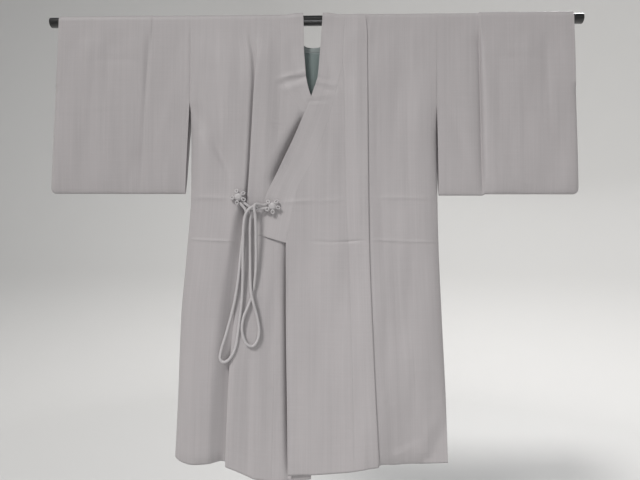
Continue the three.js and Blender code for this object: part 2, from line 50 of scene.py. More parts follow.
forward = np.array([
    -math.sin(CAMERA_YAW) * math.cos(CAMERA_PITCH),
    math.cos(CAMERA_YAW) * math.cos(CAMERA_PITCH),
    math.sin(CAMERA_PITCH),
])
level = np.array([math.cos(CAMERA_YAW), math.sin(CAMERA_YAW), 0])
upward = np.cross(level, forward)
rightward = level * math.cos(CAMERA_ROLL) + upward * math.sin(CAMERA_ROLL)
upward = upward * math.cos(CAMERA_ROLL) - level * math.sin(CAMERA_ROLL)
camera = bpy.data.objects.new("camera", bpy.data.cameras.new("camera"))
bpy.context.scene.collection.objects.link(camera)
camera.matrix_world = Matrix.Translation(CAMERA_PLACE) @ Matrix(
    np.column_stack([rightward, upward, -forward]).tolist()
).to_4x4()
camera.data.lens = LENS_MM
camera.data.sensor_width = SENSOR_MM
bpy.context.scene.camera = camera

# Tie cords
# Two soft round cords of silk, each doubled and sewn into a flower knot, tied together between the knots.
# Each runs out of its knot, round the tie, down and up again as a long hanging loop, and back to the knot.
CORD_DIAMETER = 0.0074
CORD_STEP = 0.0014
CORD_SIDES = 20
CORD_COLOUR = (0.462, 0.445, 0.45)
# Slow swellings of a cord. Columns: length of a wave, turns it makes round the cord, share of the radius
CORD_WAVES = [(0.0071, 1, 0.018), (0.0163, 2, 0.022), (0.0437, -1, 0.02)]
CORD_RIGHT_ROUTE = [
    (-0.178, -0.0292, -0.47), (-0.171, -0.0294, -0.4785), (-0.1635, -0.0296, -0.488),
    (-0.1605, -0.03, -0.5), (-0.1625, -0.0304, -0.525), (-0.169, -0.031, -0.564),
    (-0.173, -0.033, -0.61), (-0.1765, -0.0345, -0.654), (-0.1845, -0.0372, -0.712),
    (-0.202, -0.04, -0.786), (-0.215, -0.042, -0.832), (-0.2165, -0.0428, -0.85),
    (-0.2085, -0.0428, -0.8575), (-0.198, -0.0422, -0.8535), (-0.1865, -0.0406, -0.838),
    (-0.1800, -0.0392, -0.819), (-0.1752, -0.0376, -0.786), (-0.1712, -0.0370, -0.75),
    (-0.1672, -0.0372, -0.71), (-0.1656, -0.0380, -0.654), (-0.1658, -0.039, -0.613),
    (-0.1656, -0.0394, -0.564), (-0.1646, -0.0396, -0.527), (-0.1614, -0.04, -0.507),
    (-0.1555, -0.0408, -0.4935), (-0.148, -0.0412, -0.4858), (-0.1405, -0.038, -0.4822),
    (-0.1354, -0.0352, -0.4826), (-0.1338, -0.0316, -0.4856), (-0.1364, -0.0288, -0.489),
    (-0.1415, -0.0282, -0.4898), (-0.147, -0.0286, -0.488), (-0.155, -0.0286, -0.481),
    (-0.163, -0.0288, -0.4745), (-0.1698, -0.0292, -0.468),
]
CORD_LEFT_ROUTE = [
    (-0.1076, -0.0268, -0.4842), (-0.117, -0.0285, -0.4862), (-0.127, -0.031, -0.4872),
    (-0.1365, -0.0328, -0.489), (-0.1445, -0.0328, -0.4945), (-0.149, -0.0318, -0.507),
    (-0.1503, -0.031, -0.526), (-0.15, -0.0316, -0.564), (-0.1488, -0.033, -0.613),
    (-0.1472, -0.0375, -0.664), (-0.1435, -0.0415, -0.695), (-0.1385, -0.041, -0.716),
    (-0.1295, -0.036, -0.752), (-0.125, -0.0336, -0.782), (-0.1285, -0.0336, -0.806),
    (-0.139, -0.035, -0.82), (-0.151, -0.037, -0.8175), (-0.16, -0.0388, -0.804),
    (-0.1654, -0.0398, -0.78), (-0.162, -0.0394, -0.751), (-0.1528, -0.0362, -0.727),
    (-0.1435, -0.0328, -0.7), (-0.137, -0.033, -0.664), (-0.134, -0.035, -0.613),
    (-0.1346, -0.038, -0.564), (-0.1352, -0.0395, -0.527), (-0.1368, -0.041, -0.503),
    (-0.1385, -0.0432, -0.4895), (-0.1384, -0.0432, -0.4812), (-0.1345, -0.0402, -0.4768),
    (-0.1275, -0.0352, -0.4768), (-0.1195, -0.0305, -0.4776), (-0.1118, -0.0272, -0.4766),
    (-0.107, -0.0268, -0.4758),
]


def smooth_line(route, step):
    """Smooth curve through the route's points: between two of them it is a cubic whose slope at each comes
    from both neighbours, weighed by the square roots of their distances, and the ends carry on straight. It
    is read at an even step."""
    points = np.array(route)
    points = np.vstack([2 * points[0] - points[1], points, 2 * points[-1] - points[-2]])
    gaps = np.linalg.norm(np.diff(points, axis=0), axis=1)[:, None] ** 0.5
    before, here, after = gaps[:-2], gaps[1:-1], gaps[2:]
    p, q, r, s = points[:-3], points[1:-2], points[2:-1], points[3:]
    leave = ((q - p) / before - (r - p) / (before + here) + (r - q) / here) * here
    arrive = ((r - q) / here - (s - q) / (here + after) + (s - r) / after) * here
    t = np.linspace(0, 1, 40, endpoint=False)[None, :, None]
    line = (
        q[:, None] * (2 * t**3 - 3 * t**2 + 1)
        + leave[:, None] * (t**3 - 2 * t**2 + t)
        + r[:, None] * (3 * t**2 - 2 * t**3)
        + arrive[:, None] * (t**3 - t**2)
    ).reshape(-1, 3)
    line = np.vstack([line, points[-2]])
    run = np.concatenate([[0], np.cumsum(np.linalg.norm(np.diff(line, axis=0), axis=1))])
    even = np.linspace(0, run[-1], round(run[-1] / step) + 1)
    return np.column_stack([np.interp(even, run, line[:, axis]) for axis in range(3)]), even


def put_mesh(name, points, faces, spread):
    """A piece from its points, its faces and each face corner's place on the flat cloth in metres."""
    mesh = bpy.data.meshes.new(name)
    mesh.from_pydata(points.tolist(), [], faces)
    mesh.uv_layers.new(name="cloth")
    mesh.uv_layers["cloth"].uv.foreach_set("vector", spread.astype(np.float32).ravel())
    mesh.shade_smooth()
    piece = bpy.data.objects.new(name, mesh)
    bpy.context.scene.collection.objects.link(piece)
    return piece


def cell_corners(rows, columns):
    """Row and column numbers of the four corners of every cell of a grid, in their order round the cell."""
    r, c = np.meshgrid(np.arange(rows), np.arange(columns), indexing="ij")
    return [(r, c), (r, c + 1), (r + 1, c + 1), (r + 1, c)]


def put_rings(name, points, along, girth, closed=False, capped=True):
    """A piece of rings of points, with faces from each ring to the next, from the last to the first if it
    is closed, and over both ends if it is capped. On the flat cloth a ring is a straight line of the
    girth's length at its place along the piece."""
    rings, sides = points.shape[:2]
    corners = cell_corners(rings - (not closed), sides)
    faces = np.stack([(r % rings) * sides + c % sides for r, c in corners], axis=-1).reshape(-1, 4).tolist()
    spread = np.stack([np.stack([c / sides * girth, along[r]], axis=-1) for r, c in corners], axis=-2)
    spread = spread.reshape(-1, 2)
    if capped:
        faces += [np.arange(sides)[::-1].tolist(), ((rings - 1) * sides + np.arange(sides)).tolist()]
        spread = np.vstack([spread, np.zeros((2 * sides, 2))])
    return put_mesh(name, points.reshape(-1, 3), faces, spread)


def round_tube(name, line, run, radius, sides, closed=False):
    """A tube: at each point of the line a ring of the given radius, square to the line, drawn from one axis
    that is square to the line and to Y. An open tube's ends close as half rounds, a closed one joins on
    itself."""
    ahead = np.roll(line, -1, axis=0) - np.roll(line, 1, axis=0) if closed else np.gradient(line, axis=0)
    ahead /= np.linalg.norm(ahead, axis=1)[:, None]
    across = np.cross(ahead, [0, 1, 0])
    across /= np.linalg.norm(across, axis=1)[:, None]
    proud = np.cross(ahead, across)
    angle = np.arange(sides) * 2 * math.pi / sides
    if not closed:
        inside = np.clip(np.minimum(run, run[-1] - run) / np.max(radius), 0, 1)
        radius = radius * np.sqrt(np.maximum(1 - (1 - inside) ** 2, 1e-4))[:, None]
    ring = np.cos(angle)[None, :, None] * across[:, None] + np.sin(angle)[None, :, None] * proud[:, None]
    points = line[:, None] + ring * np.broadcast_to(radius, (len(line), sides))[..., None]
    along = np.append(run, run[-1] + run[1])
    return put_rings(name, points, along, 2 * math.pi * np.max(radius), closed, not closed)


def crimped(run, sides, size):
    """Surface of a soft cord: its radius, raised and lowered by three slow waves that wind round it."""
    angle = np.arange(sides) * 2 * math.pi / sides
    swell = sum(
        height * np.sin(2 * math.pi * run[:, None] / wave + turns * angle + 9 * turns)
        for wave, turns, height in CORD_WAVES
    )
    return size / 2 * (1 + swell)


def new_material(name, colour, roughness, **sockets):
    """A material, its nodes, its links and its shader, with the even values set on the shader's own
    sockets."""
    made = bpy.data.materials.new(name)
    made.use_nodes = True
    shader = made.node_tree.nodes["Principled BSDF"]
    shader.inputs["Base Color"].default_value = (*colour, 1)
    shader.inputs["Roughness"].default_value = roughness
    for socket, value in sockets.items():
        shader.inputs[socket.replace("_", " ").title().replace("Ior", "IOR")].default_value = value
    return made, made.node_tree.nodes, made.node_tree.links, shader


def woven_silk_group():
    """Node group of plain woven silk on a flat cloth in metres: warp threads a little uneven in shade, wider
    soft bands of shade along them, short thicker places in the weft, and the height of the threads, of a fine
    crepe and of ribs along the warp."""
    group = bpy.data.node_groups.new("woven silk", "ShaderNodeTree")
    for name, kind, value in [
        ("Cloth", "NodeSocketVector", None), ("Colour", "NodeSocketColor", (0.4, 0.4, 0.4, 1)),
        ("Streaks", "NodeSocketFloat", 1.0), ("Threads per metre", "NodeSocketFloat", 1100.0),
    ]:
        socket = group.interface.new_socket(name, in_out="INPUT", socket_type=kind)
        if kind != "NodeSocketVector":
            socket.default_value = value
    group.interface.new_socket("Colour", in_out="OUTPUT", socket_type="NodeSocketColor")
    group.interface.new_socket("Height", in_out="OUTPUT", socket_type="NodeSocketFloat")
    nodes, links = group.nodes, group.links
    given, made = nodes.new("NodeGroupInput"), nodes.new("NodeGroupOutput")

    def patch(scale, detail):
        """Soft noise on the cloth, as many patches a metre each way as the scale says."""
        stretch = nodes.new("ShaderNodeMapping")
        stretch.inputs["Scale"].default_value = scale
        links.new(given.outputs["Cloth"], stretch.inputs["Vector"])
        noise = nodes.new("ShaderNodeTexNoise")
        noise.inputs["Scale"].default_value = 1
        noise.inputs["Detail"].default_value = detail
        links.new(stretch.outputs["Vector"], noise.inputs["Vector"])
        return noise.outputs["Fac"]

    def reckon(a, b, how="ADD"):
        """The result of a Math node on two numbers or outputs."""
        node = nodes.new("ShaderNodeMath")
        node.operation = how
        for socket, value in zip(node.inputs, (a, b)):
            if isinstance(value, (int, float)):
                socket.default_value = value
            else:
                links.new(value, socket)
        return node.outputs[0]

    shades = [((420, 5, 1), 3, 0.10), ((70, 1.2, 1), 2, 0.085), ((9, 420, 1), 2, 0.05), ((7, 5, 1), 2, 0.05)]
    total = 0
    for scale, detail, share in shades:
        total = reckon(reckon(reckon(patch(scale, detail), 0.5, "SUBTRACT"), share, "MULTIPLY"), total)
    total = reckon(reckon(total, given.outputs["Streaks"], "MULTIPLY"), 1)
    tint = nodes.new("ShaderNodeVectorMath")
    tint.operation = "SCALE"
    links.new(given.outputs["Colour"], tint.inputs[0])
    links.new(total, tint.inputs["Scale"])
    links.new(tint.outputs["Vector"], made.inputs["Colour"])

    parts = nodes.new("ShaderNodeSeparateXYZ")
    links.new(given.outputs["Cloth"], parts.inputs[0])
    threads = []
    for axis in "XY":
        count = reckon(parts.outputs[axis], given.outputs["Threads per metre"], "MULTIPLY")
        threads.append(reckon(reckon(count, math.tau, "MULTIPLY"), 0, "SINE"))
    weave = reckon(threads[0], threads[1], "MULTIPLY")
    crepe = reckon(patch((650, 650, 1), 2), 3, "MULTIPLY")
    ribs = reckon(patch((300, 24, 1), 2), 2.2, "MULTIPLY")
    links.new(reckon(reckon(reckon(weave, 0.35, "MULTIPLY"), crepe), ribs), made.inputs["Height"])
    return group


WOVEN_SILK = woven_silk_group()


def silk(name, colour, roughness, streaks, threads, relief, **sockets):
    """Material of woven silk: the group's colour and thread height on the piece's own flat cloth."""
    made, nodes, links, shader = new_material(name, colour, roughness, **sockets)
    cloth = nodes.new("ShaderNodeUVMap")
    cloth.uv_map = "cloth"
    weave = nodes.new("ShaderNodeGroup")
    weave.node_tree = WOVEN_SILK
    weave.inputs["Colour"].default_value = (*colour, 1)
    weave.inputs["Streaks"].default_value = streaks
    weave.inputs["Threads per metre"].default_value = threads
    bump = nodes.new("ShaderNodeBump")
    bump.inputs["Strength"].default_value = relief
    bump.inputs["Distance"].default_value = 0.0001
    links.new(cloth.outputs["UV"], weave.inputs["Cloth"])
    links.new(weave.outputs["Colour"], shader.inputs["Base Color"])
    links.new(weave.outputs["Height"], bump.inputs["Height"])
    links.new(bump.outputs["Normal"], shader.inputs["Normal"])
    return made


CORD_SILK = silk(
    "cord silk", CORD_COLOUR, roughness=0.5, streaks=1.2, threads=900, relief=0.5, sheen_weight=0.2,
    specular_ior_level=0.4,
)
for side, route in [("right", CORD_RIGHT_ROUTE), ("left", CORD_LEFT_ROUTE)]:
    line, run = smooth_line(route, CORD_STEP)
    cord = round_tube(f"tie_cord_{side}", line, run, crimped(run, CORD_SIDES, CORD_DIAMETER), CORD_SIDES)
    cord.data.materials.append(CORD_SILK)
    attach(cord, "root")
    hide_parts(f"cord_{side}")

# Rod
# A straight round bar of wood under black lacquer, its ends cut square with a small bevel. It goes through
# both sleeves, and the whole coat hangs over it.
ROD_RADIUS = 0.0125
ROD_HALF = 0.68
ROD_SIDES = 96
ROD_BEVEL = 0.0012
ROD_CENTRE = 0.0005
rod_profile = np.array([
    (-ROD_HALF, ROD_CENTRE), (-ROD_HALF, ROD_RADIUS * 0.5), (-ROD_HALF, ROD_RADIUS - ROD_BEVEL),
    (-ROD_HALF + ROD_BEVEL * 0.3, ROD_RADIUS - ROD_BEVEL * 0.3), (-ROD_HALF + ROD_BEVEL, ROD_RADIUS),
])
rod_middle = np.column_stack([np.linspace(-0.6, 0.6, 13), np.full(13, ROD_RADIUS)])
rod_profile = np.vstack([rod_profile, rod_middle, rod_profile[::-1] * (-1, 1)])
around = np.arange(ROD_SIDES) * 2 * math.pi / ROD_SIDES
rod_points = np.stack([
    np.repeat(rod_profile[:, :1], ROD_SIDES, axis=1),
    rod_profile[:, 1:] * np.cos(around),
    rod_profile[:, 1:] * np.sin(around),
], axis=-1)
rod = put_rings("lacquered_rod", rod_points, rod_profile[:, 0], 2 * math.pi * ROD_RADIUS)
lacquer, nodes, links, shader = new_material(
    "black lacquer", (0.008, 0.008, 0.0085), 0.3, coat_weight=0.6, coat_roughness=0.12
)
place = nodes.new("ShaderNodeTexCoord")
dust = nodes.new("ShaderNodeTexNoise")
dust.inputs["Scale"].default_value = 45
dust.inputs["Detail"].default_value = 4
dull = nodes.new("ShaderNodeMapRange")
dull.inputs["To Min"].default_value = 0.22
dull.inputs["To Max"].default_value = 0.42
links.new(place.outputs["Object"], dust.inputs["Vector"])
links.new(dust.outputs["Fac"], dull.inputs["Value"])
links.new(dull.outputs["Result"], shader.inputs["Roughness"])
rod.data.materials.append(lacquer)
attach(rod, "root")
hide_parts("rod")

# Body panels
# Two strips of pale grey silk, one each side, each in one length from the front hem over the rod to the back
# hem, joined at the centre back and folded once down each front. Their side edges meet below the armhole.
SHOULDER_DEPTH = 0.0143
CLOTH_WALL = 0.001
SEAM_HALF = 0.00005
HEM = -1.115
HEM_CURVE_START = -0.9
OKUMI_TIP = {1: -0.11, -1: -0.15}
NECK_BACK_DROP = -0.079
SIDE_TURN = 0.06
ARMHOLE_X = 0.3107
# Heights between which the side edge leaves the sleeve's seam
ARMHOLE_FOOT = (-0.24, -0.208)
# Dip that the stitches draw at the seam of each front: its depth, its half width, and the heights between
# which it sets in below the rod
SEAM_DIPS = {1: 0.0003, -1: 0.0001}
SEAM_DIP_REACH = 0.0026
SEAM_DIPS_FROM = (-0.01, -0.03)
# Heights between which creases set in below the rod, and how far from a seam they are at their full height
CREASES_FROM = (-0.02, -0.09)
CREASES_IN = 0.03
# Slight unevenness of the fronts and of the back: seed of its waves and its height
FRONT_SWAY = (4, 0.0007)
BACK_SWAY = (7, 0.0008)
SWAY_WIDEST = 0.16
CLOTH_COLOUR = (0.402, 0.38, 0.385)

# Edges and seams seen from the front, by side: +1 is the wearer's left, at +X. Columns: z, x
NECK_SEAM = {
    1: [
        (0, 0.0795), (-0.04, 0.078), (-0.08, 0.0764), (-0.11, 0.0754), (-0.15, 0.0676), (-0.185, 0.0594),
        (-0.215, 0.0518), (-0.28, 0.0344), (-0.363, 0.0026), (-0.438, -0.0365), (-0.48, -0.046),
        (-0.572, -0.063),
    ],
    -1: [
        (0, -0.085), (-0.082, -0.0802), (-0.15, -0.079), (-0.185, -0.0636), (-0.215, -0.0435),
        (-0.25, -0.0175), (-0.275, -0.005), (-0.33, 0.005), (-0.43, 0.02), (-0.5, 0.03), (-0.572, 0.04),
    ],
}
OKUMI_SEAM = {
    1: [
        (-0.11, 0.0754), (-0.15, 0.079), (-0.212, 0.0803), (-0.463, 0.0845), (-0.612, 0.092),
        (-0.805, 0.0983), (-1.115, 0.1045),
    ],
    -1: [
        (-0.15, -0.079), (-0.185, -0.0815), (-0.25, -0.084), (-0.38, -0.09), (-0.572, -0.093),
        (-0.9, -0.09), (-1.115, -0.092),
    ],
}
SIDE_EDGE = {
    1: [
        (0, 0.3107), (-0.25, 0.3112), (-0.45, 0.3132), (-0.561, 0.3148), (-0.758, 0.3219), (-0.952, 0.33),
        (-1.115, 0.334),
    ],
    -1: [
        (0, -0.3107), (-0.25, -0.3085), (-0.45, -0.3067), (-0.588, -0.3143), (-0.763, -0.3262),
        (-0.96, -0.33), (-1.115, -0.335),
    ],
}

# Depths of the layers from the rod's plane. Columns: z, depth
UNDER_DEPTH = [
    (0, 0.0143), (-0.08, 0.0147), (-0.2, 0.015), (-0.38, 0.0155), (-0.572, 0.0172), (-0.8, 0.023),
    (-1.115, 0.031),
]
LAP_DEPTH = [
    (0, 0), (-0.08, 0), (-0.15, 0.0014), (-0.2, 0.0038), (-0.33, 0.0043), (-0.572, 0.0046),
    (-0.8, 0.0056), (-1.115, 0.008),
]
LEFT_DEPTH = [
    (0, 0.0143), (-0.08, 0.0146), (-0.206, 0.0154), (-0.38, 0.0164), (-0.572, 0.0185), (-0.8, 0.0225),
    (-1.115, 0.028),
]
BACK_DEPTH = [(0, 0.0143), (-0.2, 0.0146), (-0.572, 0.0165), (-1.115, 0.02)]
ARMHOLE_DEPTH = [(0, 0.0143), (-0.12, 0.0138), (-0.215, 0.013), (-0.25, 0.0085), (-0.33, 0), (-1.115, 0)]

# Long knife fold down each front, its left side on top. Columns: z, x of its edge, width, depth, share folded
LONG_FOLD = {
    1: [
        (0, 0.1366, 0.006, 0.003, 0.6), (-0.04, 0.137, 0.009, 0.0036, 1),
        (-0.212, 0.1378, 0.01, 0.0062, 1), (-0.562, 0.141, 0.012, 0.0085, 1),
        (-0.829, 0.1502, 0.013, 0.0095, 1), (-1.115, 0.164, 0.014, 0.0095, 1),
    ],
    -1: [
        (0, -0.139, 0.004, 0.006, 0), (-0.04, -0.14, 0.006, 0.006, 0.12), (-0.11, -0.143, 0.008, 0.006, 0.75),
        (-0.185, -0.147, 0.009, 0.0064, 1), (-0.452, -0.1594, 0.012, 0.0072, 1),
        (-0.54, -0.17, 0.014, 0.008, 1), (-0.711, -0.1842, 0.015, 0.01, 1), (-0.902, -0.197, 0.016, 0.012, 1),
        (-1.115, -0.2036, 0.016, 0.013, 1),
    ],
}
# Places across the fold, from the front seam outward, on the open cloth, where they go when it is folded (a
# distance from the fold's edge and a multiple of the fold's width), and the share of its depth they stand at
FOLD_OPEN = np.array([-0.024, -0.016, -0.009, -0.003, 0.003, 0.009, 0.016, 0.024])
FOLD_SHIFT = {
    1: np.array([-0.008, -0.003, 0, -0.003, 0.003, 0, 0.003, 0.006]),
    -1: np.array([-0.024, -0.011, -0.003, 0, -0.002, 0, 0.003, 0.0015]),
}
FOLD_BACKED = {
    1: np.array([1, 0, 0, 0, 1, 1, 1, 0]),
    -1: np.array([0, 0, 0, 0, 0, 1, 1, 0]),
}
FOLD_LIFT = {
    1: np.array([1, 1, 0.85, 0.6, 0.5, 0.25, 0, 0]),
    -1: np.array([0.85, 0.95, 1, 0.9, 0.55, 0.3, 0.1, 0]),
}
# The layer beneath sinks beside the fold, or bulges where negative, by this share at the places above.
# Columns of the table: z, depth, reach
FOLD_SINK_SHARE = np.array([0, 0, 0, 0, 0.3, 0.7, 0.9, 1])
FOLD_SINK = {
    1: [
        (0, 0, 0.012), (-0.1, -0.001, 0.016), (-0.45, -0.003, 0.024), (-0.7, -0.004, 0.034),
        (-1.115, -0.004, 0.04),
    ],
    -1: [
        (0, 0, 0.005), (-0.1, 0.002, 0.006), (-0.2, 0.004, 0.007), (-0.43, 0.005, 0.008),
        (-0.52, 0.006, 0.028), (-0.8, 0.007, 0.042), (-1.115, 0.009, 0.05),
    ],
}

# Lower edges. Columns: x, z
HEM_FRONT = {
    1: [
        (-0.054, -1.123), (0.005, -1.121), (0.078, -1.115), (0.135, -1.1055), (0.16, -1.1035),
        (0.17, -1.1015), (0.208, -1.106), (0.288, -1.105), (0.334, -1.103),
    ],
    -1: [
        (-0.335, -1.097), (-0.322, -1.104), (-0.298, -1.11), (-0.246, -1.107), (-0.215, -1.104),
        (-0.203, -1.108), (-0.166, -1.122), (-0.13, -1.136), (-0.09, -1.14), (-0.04, -1.139), (0.002, -1.134),
    ],
}
HEM_BACK = [
    (-0.335, -1.097), (-0.322, -1.104), (-0.28, -1.112), (0, -1.116), (0.28, -1.112), (0.334, -1.103),
]
# Seam of the neck at the back. Columns: z, x
NECK_BACK = [
    (0, 0.082), (-0.022, 0.0723), (-0.044, 0.06), (-0.059, 0.047), (-0.07, 0.035), (-0.077, 0.021),
    (-0.079, 0),
]
# The lowest strip of the cloth rolls inward: its height, how far it rolls at the back, and how far along the
# fronts. Columns: x, depth
HEM_ROLL_HEIGHT = 0.034
BACK_HEM_ROLL = 0.004
HEM_ROLL = [
    (-0.335, 0.004), (-0.3, 0.006), (-0.222, 0.009), (-0.2, 0.002), (-0.15, 0.001), (0.1, 0.001),
    (0.158, 0.002), (0.172, 0.007), (0.24, 0.009), (0.3, 0.008), (0.334, 0.004),
]

# Creases of both fronts, more of the under front where the upper one's edges lie on it, and creases of the
# back. Ridges stand out, troughs are negative. The last four of the fronts are broad bends of the skirt,
# drawn past its edges.
# Columns: x and z of one end, x and z of the other, half width, height, how far the middle bows sideways
FRONT_CREASES = [
    (-0.312, -0.561, -0.262, -0.564, 0.003, 0.002, 0), (-0.275, -0.564, -0.19, -0.567, 0.003, 0.0017, 0),
    (-0.004, -0.566, 0.07, -0.569, 0.004, -0.0013, 0), (0.05, -0.569, 0.135, -0.5635, 0.003, -0.0021, 0),
    (0.146, -0.562, 0.215, -0.563, 0.003, 0.0022, 0), (0.18, -0.565, 0.312, -0.566, 0.0032, 0.0016, 0),
    (-0.305, -0.457, -0.205, -0.461, 0.0055, 0.0017, 0), (-0.082, -0.471, 0.014, -0.465, 0.005, 0.002, 0),
    (0.01, -0.467, 0.09, -0.463, 0.005, 0.0013, 0), (0.158, -0.457, 0.306, -0.459, 0.005, 0.0019, 0),
    (-0.302, -0.215, -0.192, -0.458, 0.015, -0.005, 0.01),
    (-0.29, -0.29, -0.18, -0.466, 0.011, 0.0034, 0.006),
    (-0.094, -0.158, 0.004, -0.139, 0.005, 0.003, 0.002),
    (-0.094, -0.172, 0.004, -0.148, 0.0055, -0.0036, 0.002),
    (-0.078, -0.19, -0.016, -0.168, 0.008, 0.0012, 0), (-0.06, -0.06, -0.034, -0.17, 0.014, -0.0022, 0),
    (0, -0.15, 0.056, -0.166, 0.005, -0.0024, 0), (-0.002, -0.16, 0.062, -0.178, 0.0055, 0.0026, 0),
    (0, -0.172, 0.064, -0.19, 0.006, -0.0028, 0), (0.03, -0.05, 0.05, -0.19, 0.014, -0.0018, 0),
    (-0.02, -0.21, 0.052, -0.203, 0.004, 0.0018, 0), (-0.018, -0.217, 0.05, -0.21, 0.004, -0.0022, 0),
    (-0.016, -0.225, 0.042, -0.218, 0.0045, 0.0015, 0), (-0.178, -0.6, -0.188, -1.15, 0.011, 0.0026, 0),
    (-0.151, -0.82, -0.145, -1.16, 0.013, -0.0034, 0), (-0.122, -0.88, -0.119, -1.08, 0.006, 0.0014, 0),
    (-0.1, -0.7, -0.104, -1.12, 0.014, -0.0012, 0), (0.178, -0.951, 0.202, -0.957, 0.0045, -0.0016, 0),
    (0.286, -0.867, 0.318, -0.876, 0.0045, -0.0018, 0), (0.282, -0.947, 0.32, -0.955, 0.0055, -0.002, 0),
    (0.19, -1.072, 0.292, -1.043, 0.009, -0.001, 0.004),
    (0.268, -1.092, 0.314, -0.99, 0.015, 0.0026, 0.008), (0.2, -1.09, 0.262, -1.062, 0.009, 0.0014, 0),
    (0.232, -0.64, 0.262, -1.08, 0.022, -0.0024, 0), (0.182, -0.58, 0.2, -1.06, 0.016, 0.0018, 0),
    (0.073, -0.8, 0.093, -0.801, 0.003, -0.001, 0), (0.07, -0.957, 0.09, -0.958, 0.003, -0.0013, 0),
    (0.072, -1.015, 0.106, -1.017, 0.0035, -0.0012, 0), (0.074, -1.036, 0.102, -1.038, 0.0035, -0.0011, 0),
    (0.074, -0.64, 0.096, -0.642, 0.003, -0.0007, 0), (0.066, -0.7, 0.092, -0.702, 0.0035, -0.0007, 0),
    (-0.112, -0.259, -0.072, -0.266, 0.0034, -0.0006, 0),
    (-0.108, -0.27, -0.066, -0.278, 0.0036, -0.0007, 0),
    (-0.104, -0.28, -0.068, -0.29, 0.0036, -0.0006, 0),
    (-0.104, -0.33, -0.076, -0.334, 0.0036, -0.0005, 0),
    (-0.106, -0.352, -0.08, -0.357, 0.0036, -0.0005, 0),
    (-0.104, -0.925, -0.084, -0.928, 0.0035, -0.001, 0), (-0.104, -1, -0.08, -1.002, 0.004, -0.0011, 0),
    (-0.25, -0.64, -0.268, -1.06, 0.024, 0.0022, 0), (-0.224, -0.88, -0.232, -1.1, 0.016, -0.002, 0),
    (-0.215, -0.04, -0.205, -0.42, 0.02, 0.0012, 0), (0.205, -0.04, 0.215, -0.44, 0.022, -0.0012, 0),
    (0.262, -0.06, 0.255, -0.52, 0.018, 0.001, 0), (0.02, -0.62, 0.01, -1.08, 0.024, 0.001, 0),
    (-0.03, -0.64, -0.034, -1.09, 0.016, -0.0008, 0), (0.335, -0.88, 0.335, -1.5, 0.09, -0.018, 0),
    (0.148, -0.45, 0.164, -1.6, 0.06, 0.007, 0), (0.13, -1.14, 0.62, -1.14, 0.12, -0.018, 0),
    (-0.6, -1.12, -0.14, -1.12, 0.12, -0.02, 0),
]
UNDER_CREASES = [
    (-0.061, -0.535, -0.051, -1.13, 0.0075, -0.0180, 0), (-0.060, -0.550, -0.050, -1.08, 0.0230, -0.0045, 0),
    (-0.100, -0.56, -0.112, -0.80, 0.0120, 0.0014, 0), (-0.019, -0.245, -0.1020, -0.427, 0.0090, -0.0180, 0),
    (-0.062, -0.270, -0.118, -0.400, 0.0100, 0.0012, 0),
]
BACK_CREASES = [
    (-0.31, -0.566, -0.12, -0.564, 0.0032, 0.0012, 0), (-0.1, -0.564, 0.06, -0.567, 0.0032, -0.001, 0),
    (0.08, -0.566, 0.31, -0.563, 0.0032, 0.0013, 0), (-0.3, -0.459, -0.06, -0.461, 0.005, 0.0009, 0),
    (0.04, -0.46, 0.3, -0.458, 0.005, 0.001, 0), (-0.15, -0.06, -0.158, -1.1, 0.005, 0.0016, 0.004),
    (0.15, -0.06, 0.156, -1.09, 0.005, -0.0015, 0.003),
    (-0.3, -0.23, -0.215, -0.42, 0.015, -0.0022, 0.008), (0.3, -0.225, 0.22, -0.4, 0.015, -0.002, -0.008),
    (-0.235, -0.6, -0.262, -1.08, 0.024, 0.0024, 0), (0.24, -0.64, 0.258, -1.09, 0.022, -0.0024, 0),
    (-0.07, -0.64, -0.082, -1.09, 0.026, -0.0018, 0), (0.08, -0.7, 0.09, -1.08, 0.024, 0.0018, 0),
    (-0.018, -0.3, 0.02, -0.306, 0.0032, -0.0009, 0), (-0.02, -0.76, 0.018, -0.762, 0.0035, -0.001, 0),
    (-0.014, -0.93, 0.022, -0.934, 0.0035, -0.001, 0), (-0.29, -0.93, -0.32, -0.948, 0.006, -0.0018, 0),
    (0.28, -0.99, 0.318, -0.975, 0.006, -0.0018, 0), (-0.1, -0.11, -0.06, -0.16, 0.007, -0.0012, 0.003),
    (0.1, -0.108, 0.066, -0.156, 0.007, -0.0012, 0.003),
]


def curve(knots, values, at):
    """Cubic through the values at the knots whose slopes are the harmonic means of the straight slopes on
    both sides, and zero at a peak, so that it never overshoots; read at any place, the ends held."""
    slopes = np.diff(values, axis=-1) / np.diff(knots)
    before, after = slopes[..., :-1], slopes[..., 1:]
    same = before * after > 0
    inner = np.where(same, 2 * before * after / np.where(same, before + after, 1), 0)
    tangents = np.concatenate([slopes[..., :1], inner, slopes[..., -1:]], axis=-1)
    place = np.clip(at, knots[0], knots[-1])
    i = np.clip(np.searchsorted(knots, place, side="right") - 1, 0, len(knots) - 2)
    span = np.diff(knots)[i]
    t = (place - knots[i]) / span
    return (
        values[..., i] * (2 * t**3 - 3 * t**2 + 1)
        + tangents[..., i] * span * (t**3 - 2 * t**2 + t)
        + values[..., i + 1] * (3 * t**2 - 2 * t**3)
        + tangents[..., i + 1] * span * (t**3 - t**2)
    )


def table(rows, key, column=1):
    """A column of a table at any key of its first column, by the curve above."""
    rows = np.array(sorted(rows), float)
    return curve(rows[:, 0], rows[:, column], np.asarray(key, float))


def mix(a, b, share):
    """Straight blend from a to b."""
    return a + (b - a) * share


def ease(low, high, value):
    """0 below the low value, 1 above the high one, and a smooth cubic step between."""
    t = np.clip((value - low) / (high - low), 0, 1)
    return t * t * (3 - 2 * t)


QUARTER = math.pi / 2 * SHOULDER_DEPTH


